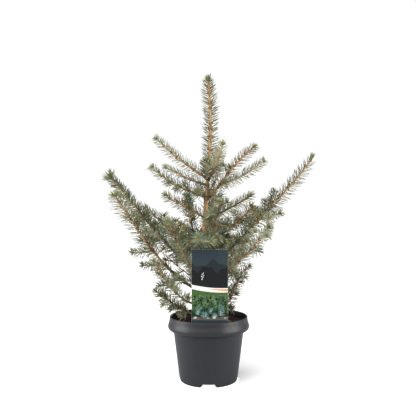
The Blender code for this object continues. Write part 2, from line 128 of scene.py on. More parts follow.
@dataclass
class Bundle:
    """Faces held as arrays, ready to be joined into one mesh.

    Attributes:
        points: One row for each corner point.
        corners: Index of the point at each face corner, face after face.
        sizes: Number of corners of each face.
        slots: Material slot of each face.
        fields: Values at each point, by name.
    """

    points: Array
    corners: Array
    sizes: Array
    slots: Array
    fields: dict[str, Array] = field(default_factory=dict)

    @classmethod
    def from_bmesh(cls, work: BMesh, slot: int = 0) -> Bundle:
        """Read a bmesh into arrays and free it.

        Args:
            work: The bmesh, with its layers of point values.
            slot: Material slot for every face.

        Returns:
            The faces as a bundle.
        """
        work.verts.index_update()
        points = np.array([vert.co[:] for vert in work.verts])
        corners = np.array([vert.index for face in work.faces for vert in face.verts])
        sizes = np.array([len(face.verts) for face in work.faces])
        fields = {}
        for layer in work.verts.layers.float:
            fields[layer.name] = np.array([vert[layer] for vert in work.verts])
        work.free()
        return cls(points, corners, sizes, np.full(len(sizes), slot), fields)

    @classmethod
    def copies(cls, shape: Bundle, placed: Array, slots: Array) -> Bundle:
        """Repeat one small shape at many places.

        Args:
            shape: The shape that is repeated.
            placed: Its points at each place, as copies by points by 3.
            slots: Material slot of each copy, or of its faces as copies by faces.

        Returns:
            All the copies as one bundle.
        """
        count, width = placed.shape[:2]
        shift = np.arange(count)[:, None] * width
        return cls(
            placed.reshape(-1, 3),
            (shape.corners[None, :] + shift).ravel(),
            np.tile(shape.sizes, count),
            np.broadcast_to(slots.reshape(count, -1), (count, len(shape.sizes))).ravel(),
        )

    @classmethod
    def joined(cls, bundles: Sequence[Bundle]) -> Bundle:
        """Join bundles into one.

        Args:
            bundles: The bundles.

        Returns:
            One bundle with all their fields.
        """
        shifts = np.cumsum([0] + [len(item.points) for item in bundles[:-1]])
        names = {name for item in bundles for name in item.fields}
        fields = {
            name: np.concatenate([item.fields.get(name, np.zeros(len(item.points))) for item in bundles])
            for name in names
        }
        return cls(
            np.concatenate([item.points for item in bundles]),
            np.concatenate([item.corners + shift for item, shift in zip(bundles, shifts)]),
            np.concatenate([item.sizes for item in bundles]),
            np.concatenate([item.slots for item in bundles]),
            fields,
        )

    def to_object(
        self, name: str, materials: Sequence[bpy.types.Material], smooth: bool
    ) -> bpy.types.Object:
        """Make the faces one object of the scene.

        Args:
            name: Name of the object and its mesh.
            materials: Materials, in the order of the slots.
            smooth: Whether the faces are shaded smooth.

        Returns:
            The new object.
        """
        mesh = bpy.data.meshes.new(name)
        mesh.vertices.add(len(self.points))
        mesh.vertices.foreach_set("co", self.points.astype(np.float32).ravel())
        mesh.loops.add(len(self.corners))
        mesh.loops.foreach_set("vertex_index", self.corners.astype(np.int32))
        mesh.polygons.add(len(self.sizes))
        starts = np.concatenate([[0], np.cumsum(self.sizes)[:-1]])
        mesh.polygons.foreach_set("loop_start", starts.astype(np.int32))
        mesh.polygons.foreach_set("material_index", self.slots.astype(np.int32))
        for label, values in self.fields.items():
            attribute = mesh.attributes.new(label, "FLOAT", "POINT")
            attribute.data.foreach_set("value", values.astype(np.float32))
        mesh.update(calc_edges=True)
        mesh.validate()
        mesh.polygons.foreach_set("use_smooth", np.full(len(self.sizes), smooth))
        for material in materials:
            mesh.materials.append(material)
        return link_object(name, mesh)


def link_object(name: str, data: bpy.types.ID) -> bpy.types.Object:
    """Put a mesh, lamp or camera into the scene as a named object."""
    obj = bpy.data.objects.new(name, data)
    bpy.context.scene.collection.objects.link(obj)
    return obj


def object_from_bmesh(
    name: str,
    work: BMesh,
    materials: Sequence[bpy.types.Material],
    sharp_angle: float = 35.0,
) -> bpy.types.Object:
    """Make an object from a bmesh and free the bmesh.

    Args:
        name: Name of the object and its mesh.
        work: The finished bmesh.
        materials: Materials, in the order of the slots.
        sharp_angle: Degrees past which an edge stays sharp.

    Returns:
        The new object.
    """
    mesh = bpy.data.meshes.new(name)
    work.to_mesh(mesh)
    work.free()
    for material in materials:
        mesh.materials.append(material)
    mesh.shade_smooth()
    mesh.set_sharp_from_angle(angle=math.radians(sharp_angle))
    return link_object(name, mesh)


def settle_modifiers(obj: bpy.types.Object) -> None:
    """Apply an object's modifiers to its mesh."""
    depsgraph = bpy.context.evaluated_depsgraph_get()
    mesh = bpy.data.meshes.new_from_object(obj.evaluated_get(depsgraph))
    obj.modifiers.clear()
    obj.data = mesh


def declare(piece: bpy.types.Object, slot: str, *nodes: str) -> bpy.types.Object:
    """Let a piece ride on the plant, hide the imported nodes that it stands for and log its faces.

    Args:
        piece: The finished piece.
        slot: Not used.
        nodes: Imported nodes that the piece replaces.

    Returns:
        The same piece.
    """
    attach(piece, "root")
    if nodes:
        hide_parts(*nodes)
    LOG.info("%s: %d faces", piece.name, len(piece.data.polygons))
    return piece


def spun(section: Sequence[tuple[float, float, float]], turns: int) -> BMesh:
    """Round a section's corners and spin it round +Z into a closed body.

    Args:
        section: Radius, height and rounding of each corner, from pole to pole.
        turns: Steps in a full turn.

    Returns:
        The closed body.
    """
    work = bmesh.new()
    knots = [work.verts.new((radius, 0.0, height)) for radius, height, _ in section]
    for first, second in zip(knots, knots[1:]):
        work.edges.new((first, second))
    for knot, (_, _, rounding) in zip(knots, section):
        if rounding > 0.0:
            bmesh.ops.bevel(
                work, geom=[knot], offset=rounding, offset_type="OFFSET", segments=4, profile=0.5,
                affect="VERTICES", material=-1,
            )
    bmesh.ops.spin(
        work, geom=work.verts[:] + work.edges[:], cent=(0.0, 0.0, 0.0), axis=(0.0, 0.0, 1.0),
        dvec=(0.0, 0.0, 0.0), angle=math.tau, steps=turns, use_merge=True,
    )
    bmesh.ops.remove_doubles(work, verts=work.verts, dist=MERGE_DISTANCE)
    bmesh.ops.recalc_face_normals(work, faces=work.faces)
    return work


def next_ring(work: BMesh, edges: list) -> tuple[list, list]:
    """Extrude a ring of edges.

    Args:
        work: The bmesh that holds them.
        edges: The open ring.

    Returns:
        The new ring's points and its edges.
    """
    grown = bmesh.ops.extrude_edge_only(work, edges=edges)["geom"]
    ring = [item for item in grown if isinstance(item, bmesh.types.BMVert)]
    rim = [item for item in grown if isinstance(item, bmesh.types.BMEdge)]
    return ring, [edge for edge in rim if all(end in ring for end in edge.verts)]


def thicken(work: BMesh, shift: tuple[float, float, float]) -> None:
    """Extrude a flat shape's faces by a shift and turn all its faces outwards."""
    grown = bmesh.ops.extrude_face_region(work, geom=work.faces[:])["geom"]
    moved = [item for item in grown if isinstance(item, bmesh.types.BMVert)]
    bmesh.ops.translate(work, verts=moved, vec=shift)
    bmesh.ops.recalc_face_normals(work, faces=work.faces)


# ---- Shader building ----

class Sketch:
    """A shader node tree that is filled one node at a time."""

    def __init__(self, tree: bpy.types.NodeTree) -> None:
        """Start on a node tree."""
        self.tree = tree

    def add(self, kind: str, inputs: Mapping | None = None, **settings: str | bool) -> bpy.types.Node:
        """Add a node.

        Args:
            kind: The node's type without its "ShaderNode".
            inputs: Plain values or output sockets, by input name or number.
            settings: Properties of the node itself.

        Returns:
            The new node.
        """
        node = self.tree.nodes.new(f"ShaderNode{kind}")
        for name, value in settings.items():
            setattr(node, name, value)
        self.fill(node, inputs or {})
        return node

    def fill(self, node: bpy.types.Node, inputs: Mapping) -> None:
        """Give a node's inputs plain values or links.

        Args:
            node: The node.
            inputs: Plain values or output sockets, by input name or number.
        """
        for key, value in inputs.items():
            if isinstance(value, Socket):
                self.tree.links.new(value, node.inputs[key])
            else:
                node.inputs[key].default_value = value

    def math(self, operation: str, first: Feed, second: Feed = 0.0, clamp: bool = False) -> Socket:
        """Add a Math node and return its output."""
        return self.add("Math", {0: first, 1: second}, operation=operation, use_clamp=clamp).outputs[0]

    def mix(self, share: Feed, first: Feed, second: Feed) -> Socket:
        """Add a node that mixes two colours and return its output."""
        return self.add("Mix", {0: share, 6: first, 7: second}, data_type="RGBA").outputs[2]

    def range(
        self, value: Feed, low: float, high: float, to_low: float = 0.0, to_high: float = 1.0
    ) -> Socket:
        """Add a clamped Map Range node and return its output."""
        return self.add("MapRange", {0: value, 1: low, 2: high, 3: to_low, 4: to_high}).outputs[0]

    def noise(self, place: Socket, scale: Feed, detail: float = 2.0, roughness: float = 0.5) -> Socket:
        """Add a Noise Texture node and return its value."""
        inputs = {"Vector": place, "Scale": scale, "Detail": detail, "Roughness": roughness}
        return self.add("TexNoise", inputs).outputs[0]

    def bump(self, height: Feed, strength: float, distance: float) -> Socket:
        """Add a Bump node and return its normal."""
        inputs = {"Height": height, "Strength": strength, "Distance": distance}
        return self.add("Bump", inputs).outputs[0]

    def place(self, stretch: tuple[float, float, float] = (1.0, 1.0, 1.0)) -> Socket:
        """Return the object's own coordinates, stretched along its axes."""
        source = self.add("TexCoord").outputs["Object"]
        return self.add("Mapping", {"Vector": source, "Scale": stretch}).outputs[0]

    def group(
        self, tree: bpy.types.NodeTree, place: Socket, **inputs: float
    ) -> Mapping[str, Socket]:
        """Place a node group, fill its inputs and return its outputs."""
        return self.add("Group", {"Vector": place, **inputs}, node_tree=tree).outputs


class EffectGroups:
    """Node groups for effects that several finishes share, each built once."""

    def __init__(self) -> None:
        """Build every shared group."""
        self.grain = self._group("fine grain", self._grain, Scale=400.0)
        self.dust = self._group("settled dust", self._dust, Scale=60.0, Amount=0.5)
        self.wear = self._group("rubbed places", self._wear, Scale=90.0, Amount=0.5)

    @staticmethod
    def _group(name: str, effect: Callable, **inputs: float) -> bpy.types.NodeTree:
        """Build a group.

        Args:
            name: The group's name.
            effect: Draws the effect and returns its output sockets by name.
            inputs: Default of each number input, by name; Vector is added in front.

        Returns:
            The group's tree.
        """
        tree = bpy.data.node_groups.new(name, "ShaderNodeTree")
        tree.interface.new_socket("Vector", in_out="INPUT", socket_type="NodeSocketVector")
        for label, value in inputs.items():
            socket = tree.interface.new_socket(label, in_out="INPUT", socket_type="NodeSocketFloat")
            socket.default_value = value
        results = effect(Sketch(tree), tree.nodes.new("NodeGroupInput").outputs)
        for label in results:
            tree.interface.new_socket(label, in_out="OUTPUT", socket_type="NodeSocketFloat")
        sink = tree.nodes.new("NodeGroupOutput")
        for label, socket in results.items():
            tree.links.new(socket, sink.inputs[label])
        return tree

    @staticmethod
    def _grain(sketch: Sketch, given: Mapping) -> dict[str, Socket]:
        """Draw a soft cloud and the small specks in it.

        Args:
            sketch: The group's tree.
            given: Its inputs.

        Returns:
            Its outputs.
        """
        cloud = sketch.noise(given["Vector"], sketch.math("MULTIPLY", given["Scale"], 0.12), 4.0, 0.6)
        return {"Cloud": cloud, "Speck": sketch.noise(given["Vector"], given["Scale"])}

    @staticmethod
    def _dust(sketch: Sketch, given: Mapping) -> dict[str, Socket]:
        """Draw dust that settles in patches on faces that look upwards.

        Args:
            sketch: The group's tree.
            given: Its inputs.

        Returns:
            Its outputs.
        """
        facing = sketch.add("SeparateXYZ", {0: sketch.add("NewGeometry").outputs["Normal"]}).outputs[2]
        patches = sketch.noise(given["Vector"], given["Scale"], 5.0, 0.65)
        cover = sketch.range(patches, 0.38, 0.70, 0.25)
        mask = sketch.math("MULTIPLY", sketch.range(facing, 0.1, 0.95), cover)
        return {"Mask": sketch.math("MULTIPLY", mask, given["Amount"], clamp=True)}

    @staticmethod
    def _wear(sketch: Sketch, given: Mapping) -> dict[str, Socket]:
        """Draw scratches in one direction, broken by patches.

        Args:
            sketch: The group's tree.
            given: Its inputs.

        Returns:
            Its outputs.
        """
        stretched = sketch.add("Mapping", {"Vector": given["Vector"], "Scale": (1.0, 1.0, 7.0)})
        lines = sketch.noise(stretched.outputs[0], given["Scale"], 6.0, 0.7)
        patches = sketch.range(sketch.noise(given["Vector"], 18.0), 0.45, 0.62)
        broken = sketch.math("MULTIPLY", sketch.range(lines, 0.60, 0.74), patches)
        return {"Mask": sketch.math("MULTIPLY", broken, given["Amount"], clamp=True)}


def new_material(name: str) -> tuple[bpy.types.Material, Sketch, bpy.types.Node]:
    """Start a material.

    Args:
        name: The material's name.

    Returns:
        The material, a sketch on its tree and its Principled shader.
    """
    material = bpy.data.materials.new(name)
    material.use_nodes = True
    shader = material.node_tree.nodes["Principled BSDF"]
    return material, Sketch(material.node_tree), shader


# ---- Finishes ----

@dataclass(frozen=True)
class PlainTint:
    """A plain matt tint for needles, twigs, buds and crumbs, dealt out by spray.

    Attributes:
        name: The tint's name.
        colour: Display colour from 0 to 255.
        roughness: Roughness of the surface.
        sheen: Weight of a waxy bloom.
    """

    name: str
    colour: tuple[int, int, int]
    roughness: float = 0.55
    sheen: float = 0.0

    def material(self) -> bpy.types.Material:
        """Return the tint's material."""
        material, _, shader = new_material(self.name)
        shader.inputs["Base Color"].default_value = display_colour(*self.colour)
        shader.inputs["Roughness"].default_value = self.roughness
        shader.inputs["Specular IOR Level"].default_value = 0.35
        shader.inputs["Sheen Weight"].default_value = self.sheen
        return material


@dataclass(frozen=True)
class GrainedFinish:
    """A finish with fine grain in it, and flecks, dust or rubbed places where it has them.

    Attributes:
        name: The material's name.
        dark: Colour of the grain's hollows.
        light: Colour of its heights.
        roughness: The lowest and the highest roughness.
        grain: Scale of the grain.
        relief: Strength and distance of its bump.
        specular: Level of the specular reflection.
        contrast: Half the span of the grain over which the colour changes.
        flecks: Colour of the flecks.
        dust: Colour, scale and amount of the dust.
        wear: Colour, scale and amount of the rubbed places.
    """

    name: str
    dark: Colour
    light: Colour
    roughness: tuple[float, float]
    grain: float
    relief: tuple[float, float]
    specular: float = 0.5
    contrast: float = 0.15
    flecks: Colour | None = None
    dust: tuple[Colour, float, float] | None = None
    wear: tuple[Colour, float, float] | None = None

    def material(self, groups: EffectGroups) -> bpy.types.Material:
        """Return the finish as a material.

        Args:
            groups: The shared effects.

        Returns:
            The material.
        """
        material, sketch, shader = new_material(self.name)
        place = sketch.place()
        grain = sketch.group(groups.grain, place, Scale=self.grain)
        cloud, height = grain["Cloud"], grain["Speck"]
        share = sketch.range(cloud, 0.5 - self.contrast, 0.5 + self.contrast)
        colour = sketch.mix(share, self.dark, self.light)
        low, high = self.roughness
        rough = low if low == high else sketch.range(cloud, 0.3, 0.7, low, high)
        if self.flecks:
            colour = sketch.mix(sketch.range(height, 0.60, 0.72, 0.0, 0.8), colour, self.flecks)
            height = sketch.math("ADD", cloud, sketch.math("MULTIPLY", height, 0.5))
        if self.wear:
            tint, scale, amount = self.wear
            rubbed = sketch.group(groups.wear, place, Scale=scale, Amount=amount)
            colour = sketch.mix(rubbed["Mask"], colour, tint)
        if self.dust:
            tint, scale, amount = self.dust
            mask = sketch.group(groups.dust, place, Scale=scale, Amount=amount)["Mask"]
            colour = sketch.mix(mask, colour, tint)
            rough = sketch.math("ADD", rough, sketch.math("MULTIPLY", mask, 0.5), clamp=True)
        sketch.fill(shader, {
            "Base Color": colour,
            "Roughness": rough,
            "Specular IOR Level": self.specular,
            "Normal": sketch.bump(height, *self.relief),
        })
        return material


@dataclass(frozen=True)
class MouldedPlastic(GrainedFinish):
    """Dark satin plastic with a fine mould texture, faint scuffs and a little dust."""

    name: str = "pot plastic"
    dark: Colour = shaded(display_colour(32, 33, 40), 0.93)
    light: Colour = shaded(display_colour(32, 33, 40), 1.06)
    roughness: tuple[float, float] = (0.38, 0.43)
    grain: float = 900.0
    relief: tuple[float, float] = (0.08, 0.0003)
    dust: tuple[Colour, float, float] | None = (display_colour(92, 86, 76), 70.0, 0.22)
    wear: tuple[Colour, float, float] | None = (display_colour(70, 70, 74), 120.0, 0.16)


@dataclass(frozen=True)
class Peat(GrainedFinish):
    """Crumbly dark peat with reddish fibres in it."""

    name: str = "potting peat"
    dark: Colour = display_colour(24, 16, 12)
    light: Colour = display_colour(52, 37, 29)
    roughness: tuple[float, float] = (0.95, 0.95)
    grain: float = 1100.0
    relief: tuple[float, float] = (0.8, 0.0015)
    specular: float = 0.2
    contrast: float = 0.18
    flecks: Colour | None = display_colour(92, 68, 52)


def printed_card(name: str, colour: tuple[int, int, int], variation: float = 0.05) -> GrainedFinish:
    """Return the finish of satin card or of ink on it.

    Args:
        name: The material's name.
        colour: Display colour from 0 to 255.
        variation: Depth of the faint screen.

    Returns:
        The finish.
    """
    plain = display_colour(*colour)
    return GrainedFinish(
        name, shaded(plain, 1.0 - variation), shaded(plain, 1.0 + variation), (0.40, 0.53), 1600.0,
        (0.08, 0.0002), specular=0.12, dust=(display_colour(150, 142, 130), 90.0, 0.35),
    )


@dataclass(frozen=True)
class Bark:
    """Young tan bark that turns olive and brown with age, darker at its knots, with painted shade in the
    hollows of its relief.
    """

    young: Colour = display_colour(216, 176, 128)
    golden: Colour = display_colour(190, 151, 103)
    olive: Colour = display_colour(140, 118, 76)
    old: Colour = display_colour(84, 70, 44)
    knot: Colour = display_colour(66, 44, 30)

    def material(self, groups: EffectGroups) -> bpy.types.Material:
        """Return the bark's material, which reads the age and the knots of the wood and paints shade into
        the hollows of its relief.

        Args:
            groups: The shared effects.

        Returns:
            The material.
        """
        material, sketch, shader = new_material("young bark")
        age, knots, shade_in_hollows = (
            sketch.add("Attribute", attribute_name=name).outputs["Fac"] for name in ("age", "knot", "hollow")
        )
        grain = sketch.group(groups.grain, sketch.place((1.0, 1.0, 0.45)), Scale=1500.0)
        shift = sketch.range(grain["Cloud"], 0.25, 0.75, -0.22, 0.22)
        ramp = sketch.add("ValToRGB", {"Fac": sketch.math("ADD", age, shift, clamp=True)})
        stops = ((0.0, self.young), (0.35, self.golden), (0.70, self.olive), (1.0, self.old))
        for position, _ in stops[1:-1]:
            ramp.color_ramp.elements.new(position)
        for element, (position, colour) in zip(ramp.color_ramp.elements, stops):
            element.position = position
            element.color = colour
        # Painted shade: the hollows of the relief are darkened towards the knot colour.
        hollows_shaded = sketch.mix(sketch.math("MULTIPLY", shade_in_hollows, 0.75), ramp.outputs[0], self.knot)
        flecked = sketch.mix(sketch.range(grain["Speck"], 0.56, 0.72, 0.0, 0.7), hollows_shaded, self.olive)
        sketch.fill(shader, {
            "Base Color": sketch.mix(knots, flecked, self.knot),
            "Roughness": sketch.range(grain["Cloud"], 0.3, 0.7, 0.60, 0.85),
            "Specular IOR Level": 0.3,
            "Normal": sketch.bump(grain["Speck"], 0.35, 0.0004),
        })
        return material


class NeedleTint(Enum):
    """Tints that the sprays of needles are dealt, in the order of their slots."""

    BLOOM = PlainTint("needle bloom", (178, 182, 156), 0.50, 0.06)
    SILVER = PlainTint("needle silver", (152, 159, 129), 0.50, 0.06)
    GREY = PlainTint("needle grey green", (128, 137, 103), 0.52, 0.04)
    SLATE = PlainTint("needle slate green", (102, 114, 84), 0.55, 0.03)
    TEAL = PlainTint("needle teal", (122, 145, 122), 0.52, 0.05)
    DEEP = PlainTint("needle deep green", (78, 87, 54), 0.58, 0.02)
    OLIVE = PlainTint("needle olive", (146, 140, 92), 0.55, 0.02)
    MOSS = PlainTint("needle moss", (102, 102, 56), 0.58, 0.01)
    FRESH = PlainTint("needle fresh green", (126, 152, 86), 0.50, 0.02)
    STRAW = PlainTint("needle straw", (186, 166, 124), 0.60, 0.0)


class WoodTint(Enum):
    """Tints of twigs, pegs and buds, in the order of their slots."""

    TAN = PlainTint("twig tan", (210, 176, 134), 0.60)
    SAND = PlainTint("twig sand", (218, 192, 156), 0.60)
    AMBER = PlainTint("twig amber", (196, 154, 110), 0.60)
    OLIVE = PlainTint("twig olive", (146, 126, 88), 0.70)
    DARK = PlainTint("twig dark", (112, 88, 58), 0.75)
    BUD = PlainTint("bud brown", (160, 104, 66), 0.45)
    BUD_TIP = PlainTint("bud rust", (180, 122, 82), 0.45)
    SCALE = PlainTint("bud scale", (92, 58, 42), 0.60)


class CrumbTint(Enum):
    """Tints of the crumbs and chips on the soil, in the order of their slots."""

    BLACK = PlainTint("crumb black", (22, 15, 12), 0.90)
    BROWN = PlainTint("crumb brown", (50, 35, 28), 0.90)
    RUST = PlainTint("crumb rust", (86, 56, 42), 0.85)
    PALE = PlainTint("crumb pale", (138, 116, 94), 0.80)


def tints(names: str) -> tuple[NeedleTint, ...]:
    """Return the needle tints of the names."""
    return tuple(NeedleTint[name] for name in names.split())


class Palette(Enum):
    """Which tints the upper and the lower faces of a spray's needles are dealt."""

    SHADE = (tints("GREY SLATE SILVER"), tints("DEEP MOSS DEEP"))
    PALE = (tints("BLOOM BLOOM SILVER"), tints("SILVER GREY SLATE"))
    GLAUCOUS = (tints("BLOOM SILVER SILVER GREY"), tints("GREY SLATE DEEP"))
    TEAL = (tints("SILVER TEAL TEAL BLOOM"), tints("SLATE DEEP TEAL"))
    GREEN = (tints("GREY SILVER OLIVE"), tints("DEEP SLATE MOSS"))
    OLIVE = (tints("OLIVE OLIVE GREY"), tints("MOSS DEEP MOSS"))
    MOSS = (tints("MOSS OLIVE DEEP"), tints("DEEP DEEP MOSS"))
    FRESH = (tints("FRESH OLIVE SILVER"), tints("FRESH MOSS GREY"))


NEEDLE_SLOTS = {tint: index for index, tint in enumerate(NeedleTint)}
WOOD_SLOTS = {tint: index for index, tint in enumerate(WoodTint)}


@dataclass
class Finishes:
    """Every material of the plant, the pot and the label, built once."""

    groups: EffectGroups = field(default_factory=EffectGroups)

    def __post_init__(self) -> None:
        """Build the materials that several pieces share."""
        self.plastic = MouldedPlastic().material(self.groups)
        self.peat = Peat().material(self.groups)
        self.bark = Bark().material(self.groups)
        self.needles = [tint.value.material() for tint in NeedleTint]
        self.wood = [tint.value.material() for tint in WoodTint]
        self.crumbs = [tint.value.material() for tint in CrumbTint]


# ---- Pot ----

@dataclass
class NurseryPot:
    """A round pot with a bulged collar, a foot ring with notches and a raised floor."""

    height: float = 0.1475
    wall: float = 0.0020
    lip: float = 0.0028
    foot_radius: float = 0.0657
    foot_width: float = 0.0050
    base_radius: float = 0.0670
    waist_radius: float = 0.0814
    collar_foot: float = 0.1130
    collar_under_radius: float = 0.0880
    collar_radius: float = 0.0948
    collar_bulge: float = 0.1240
    collar_shoulder: float = 0.1292
    shoulder_radius: float = 0.0940
    collar_top: float = 0.1370
    rim_radius: float = 0.0904
    rim_lean: float = 0.0008
    under_lift: float = 0.0028
    tuck: float = 0.0016
    tuck_drop: float = 0.0045
    floor_underside: float = 0.0085
    middle_foot_radius: float = 0.0140
    foot_draft: float = 0.0010
    lip_round: float = 0.0009
    base_round: float = 0.0016
    notch_count: int = 4
    notch_width: float = 0.0400
    notch_top_width: float = 0.0250
    notch_height: float = 0.0080
    drain_radius: float = 0.0045
    drain_circle: float = 0.0420
    turns: int = 192

    def outer_profile(self) -> list[tuple[float, float, float]]:
        """Return the outside from the lip to the foot as (radius, height, rounding)."""
        return [
            (self.rim_radius, self.height, self.lip_round),
            (self.rim_radius + self.rim_lean, self.collar_top, 0.0030),
            (self.shoulder_radius, self.collar_shoulder, 0.0018),
            (self.collar_radius, self.collar_bulge, 0.0022),
            (self.collar_radius - self.tuck, self.collar_bulge - self.tuck_drop, 0.0018),
            (self.collar_under_radius, self.collar_foot + self.under_lift, 0.0012),
            (self.waist_radius, self.collar_foot, 0.0016),
            (self.base_radius, 0.0018, self.base_round),
            (self.foot_radius, 0.0, 0.0004),
        ]

    def inner_profile(self) -> list[tuple[float, float, float]]:
        """Return the inside from the floor's edge to the lip as (radius, height, rounding)."""
        floor_top = self.floor_underside + self.wall
        slope = (self.waist_radius - self.base_radius) / self.collar_foot
        lip_radius = self.rim_radius - self.lip
        return [
            (self.base_radius + slope * floor_top - self.wall, floor_top, 0.0015),
            (self.waist_radius - self.wall, self.collar_foot + 0.001, 0.0015),
            (self.collar_under_radius - 0.001, self.collar_foot + self.under_lift + self.wall, 0.0015),
            (self.collar_radius - self.wall, self.collar_bulge, 0.0025),
            (lip_radius + self.rim_lean, self.collar_top, 0.0030),
            (lip_radius, self.height, self.lip_round),
        ]

    def profile(self) -> list[tuple[float, float, float]]:
        """Return the whole closed section from pole to pole as (radius, height, rounding)."""
        inner_foot = self.foot_radius - self.foot_width
        under = [
            (inner_foot, 0.0, 0.0004),
            (inner_foot - self.foot_draft, self.floor_underside, 0.0010),
            (self.middle_foot_radius + self.foot_draft, self.floor_underside, 0.0010),
            (self.middle_foot_radius, 0.0, 0.0004),
            (0.0, 0.0, 0.0),
        ]
        start = [(0.0, self.floor_underside + self.wall, 0.0)]
        return start + self.inner_profile() + self.outer_profile() + under

    def notch(self) -> BMesh:
        """Return the wedge-sided block that cuts one notch, along +X."""
        work = bmesh.new()
        bmesh.ops.create_cube(work, size=1.0)
        inner = self.foot_radius - 3 * self.foot_width
        outer = self.base_radius + 2 * self.foot_width
        for vert in work.verts:
            above = vert.co.z > 0
            width = self.notch_top_width if above else self.notch_width
            vert.co.x = outer if vert.co.x > 0 else inner
            vert.co.y = math.copysign(width / 2, vert.co.y)
            vert.co.z = self.notch_height if above else -self.wall
        return work

    def drain(self) -> BMesh:
        """Return the short cylinder that cuts one drainage hole, along +X."""
        work = bmesh.new()
        bmesh.ops.create_cone(
            work, cap_ends=True, segments=32, radius1=self.drain_radius, radius2=self.drain_radius,
            depth=4 * self.wall,
        )
        middle = self.floor_underside + self.wall / 2
        bmesh.ops.translate(work, verts=work.verts, vec=(self.drain_circle, 0.0, middle))
        return work

    def cut(self, pot: bpy.types.Object) -> None:
        """Cut the notches and the drainage holes.

        Args:
            pot: The pot's body.
        """
        tools = []
        for index in range(self.notch_count):
            turn = Matrix.Rotation(math.tau * index / self.notch_count, 4, "Z")
            for kind, maker in (("notch", self.notch), ("drain", self.drain)):
                work = maker()
                bmesh.ops.transform(work, matrix=turn, verts=work.verts)
                tool = object_from_bmesh(f"{kind}_tool_{index}", work, [])
                tools.append(tool)
                modifier = pot.modifiers.new(tool.name, "BOOLEAN")
                modifier.object = tool
                modifier.operation = "DIFFERENCE"
                modifier.solver = "EXACT"
        settle_modifiers(pot)
        for tool in tools:
            bpy.data.objects.remove(tool, do_unlink=True)
        pot.data.shade_smooth()
        pot.data.set_sharp_from_angle(angle=math.radians(35.0))

    def build(self, finishes: Finishes) -> bpy.types.Object:
        """Make the pot.

        Args:
            finishes: The materials.

        Returns:
            The finished piece.
        """
        pot = object_from_bmesh("nursery_pot", spun(self.profile(), self.turns), [finishes.plastic])
        self.cut(pot)
        return declare(pot, "pot_plastic", "pot")


# ---- Soil ----

@dataclass
class PottingSoil:
    """The root ball's soil, with crumbs, chips and fallen needles on top."""

    top: float = 0.1360
    edge_drop: float = 0.0012
    edge_radius: float = 0.0885
    edge_depth: float = 0.0040
    clear: float = 0.003
    gap: float = 0.0003
    rings: int = 30
    turns: int = 128
    lump: float = 0.0013
    crumbs: int = 1500
    chips: int = 320
    fallen: int = 150
    rng: np.random.Generator = field(default_factory=lambda: np.random.default_rng(SEED + 1))

    def top_height(self, x: Array, y: Array) -> Array:
        """Return the height of the soil's lumpy top.

        Args:
            x: Places along X.
            y: Places along Y.

        Returns:
            One height for each place.
        """
        heights = []
        for across, along in zip(np.atleast_1d(x), np.atleast_1d(y)):
            coarse = noise.noise(Vector((across * 55.0, along * 55.0, 1.3)))
            fine = noise.noise(Vector((across * 210.0, along * 210.0, 4.7)))
            radius = math.hypot(across, along)
            heights.append(
                self.top - self.edge_drop * (radius / self.edge_radius) ** 2
                + self.lump * (0.75 * coarse + 0.45 * fine)
            )
        return np.array(heights)

    def body(self, pot: NurseryPot) -> BMesh:
        """Spin the soil's section and roughen its top.

        Args:
            pot: The pot that it fills.

        Returns:
            The closed body.
        """
        rings = [(self.edge_radius * step / self.rings, self.top, 0.0) for step in range(self.rings + 1)]
        edge = self.top - self.edge_depth
        wall = [(radius - self.gap, height, 0.0) for radius, height, _ in pot.inner_profile()]
        wall = [row for row in wall if row[1] < edge]
        floor = wall[0][1] + self.gap
        foot = [(wall[0][0], floor, 0.0), (0.0, floor, 0.0)]
        work = spun(rings + [(self.edge_radius, edge, 0.0)] + wall[:0:-1] + foot, self.turns)
        for vert in work.verts:
            if vert.co.z > self.top - 0.001:
                vert.co.z = float(self.top_height(vert.co.x, vert.co.y)[0])
        return work

    def scattered(self, count: int) -> Array:
        """Return places on the soil's top.

        Args:
            count: How many places.

        Returns:
            One row for each place.
        """
        radius = (self.edge_radius - self.clear) * np.sqrt(self.rng.random(count))
        turn = self.rng.random(count) * math.tau
        x, y = radius * np.cos(turn), radius * np.sin(turn)
        return np.stack([x, y, self.top_height(x, y)], axis=-1)

    def litter(self) -> Bundle:
        """Return the crumbs, chips and fallen needles as one bundle.

        Returns:
            All of them.
        """
        parts = []
        kinds = (
            (self.crumbs, (0.0011, 0.0010, 0.0008), 0.5, (0.34, 0.40, 0.20, 0.06)),
            (self.chips, (0.0034, 0.0017, 0.0006), 0.35, (0.20, 0.42, 0.30, 0.08)),
            (self.fallen, (0.0072, 0.00045, 0.0004), 0.15, (0.10, 0.30, 0.35, 0.25)),
        )
        for count, half, sink, shares in kinds:
            work = bmesh.new()
            bmesh.ops.create_icosphere(work, subdivisions=1, radius=1.0)
            shape = Bundle.from_bmesh(work)
            sizes = np.array(half) * self.rng.uniform(0.55, 1.45, (count, 1))
            sizes = sizes * self.rng.uniform(0.8, 1.2, (count, 3))
            knocked = shape.points[None] * self.rng.uniform(0.72, 1.15, (count, len(shape.points), 1))
            turn = self.rng.random(count) * math.tau
            tilt = self.rng.normal(0.0, 0.30, count)
            x, y, z = np.moveaxis(knocked * sizes[:, None, :], -1, 0)
            x, z = turned(x, z, tilt[:, None])
            x, y = turned(x, y, turn[:, None])
            places = self.scattered(count)
            places[:, 2] += sizes[:, 2] * (1.0 - sink)
            slots = self.rng.choice(len(CrumbTint), count, p=shares)
            placed = np.stack([x, y, z], axis=-1) + places[:, None, :]
            parts.append(Bundle.copies(shape, placed, slots))
        return Bundle.joined(parts)

    def build(self, finishes: Finishes, pot: NurseryPot) -> None:
        """Make the soil and its litter.

        Args:
            finishes: The materials.
            pot: The pot that it fills.
        """
        body = object_from_bmesh("potting_soil", self.body(pot), [finishes.peat], 60.0)
        declare(body, "potting_soil", "soil")
        litter = self.litter().to_object("soil_litter", finishes.crumbs, False)
        declare(litter, "potting_soil")


# ---- Plant label ----

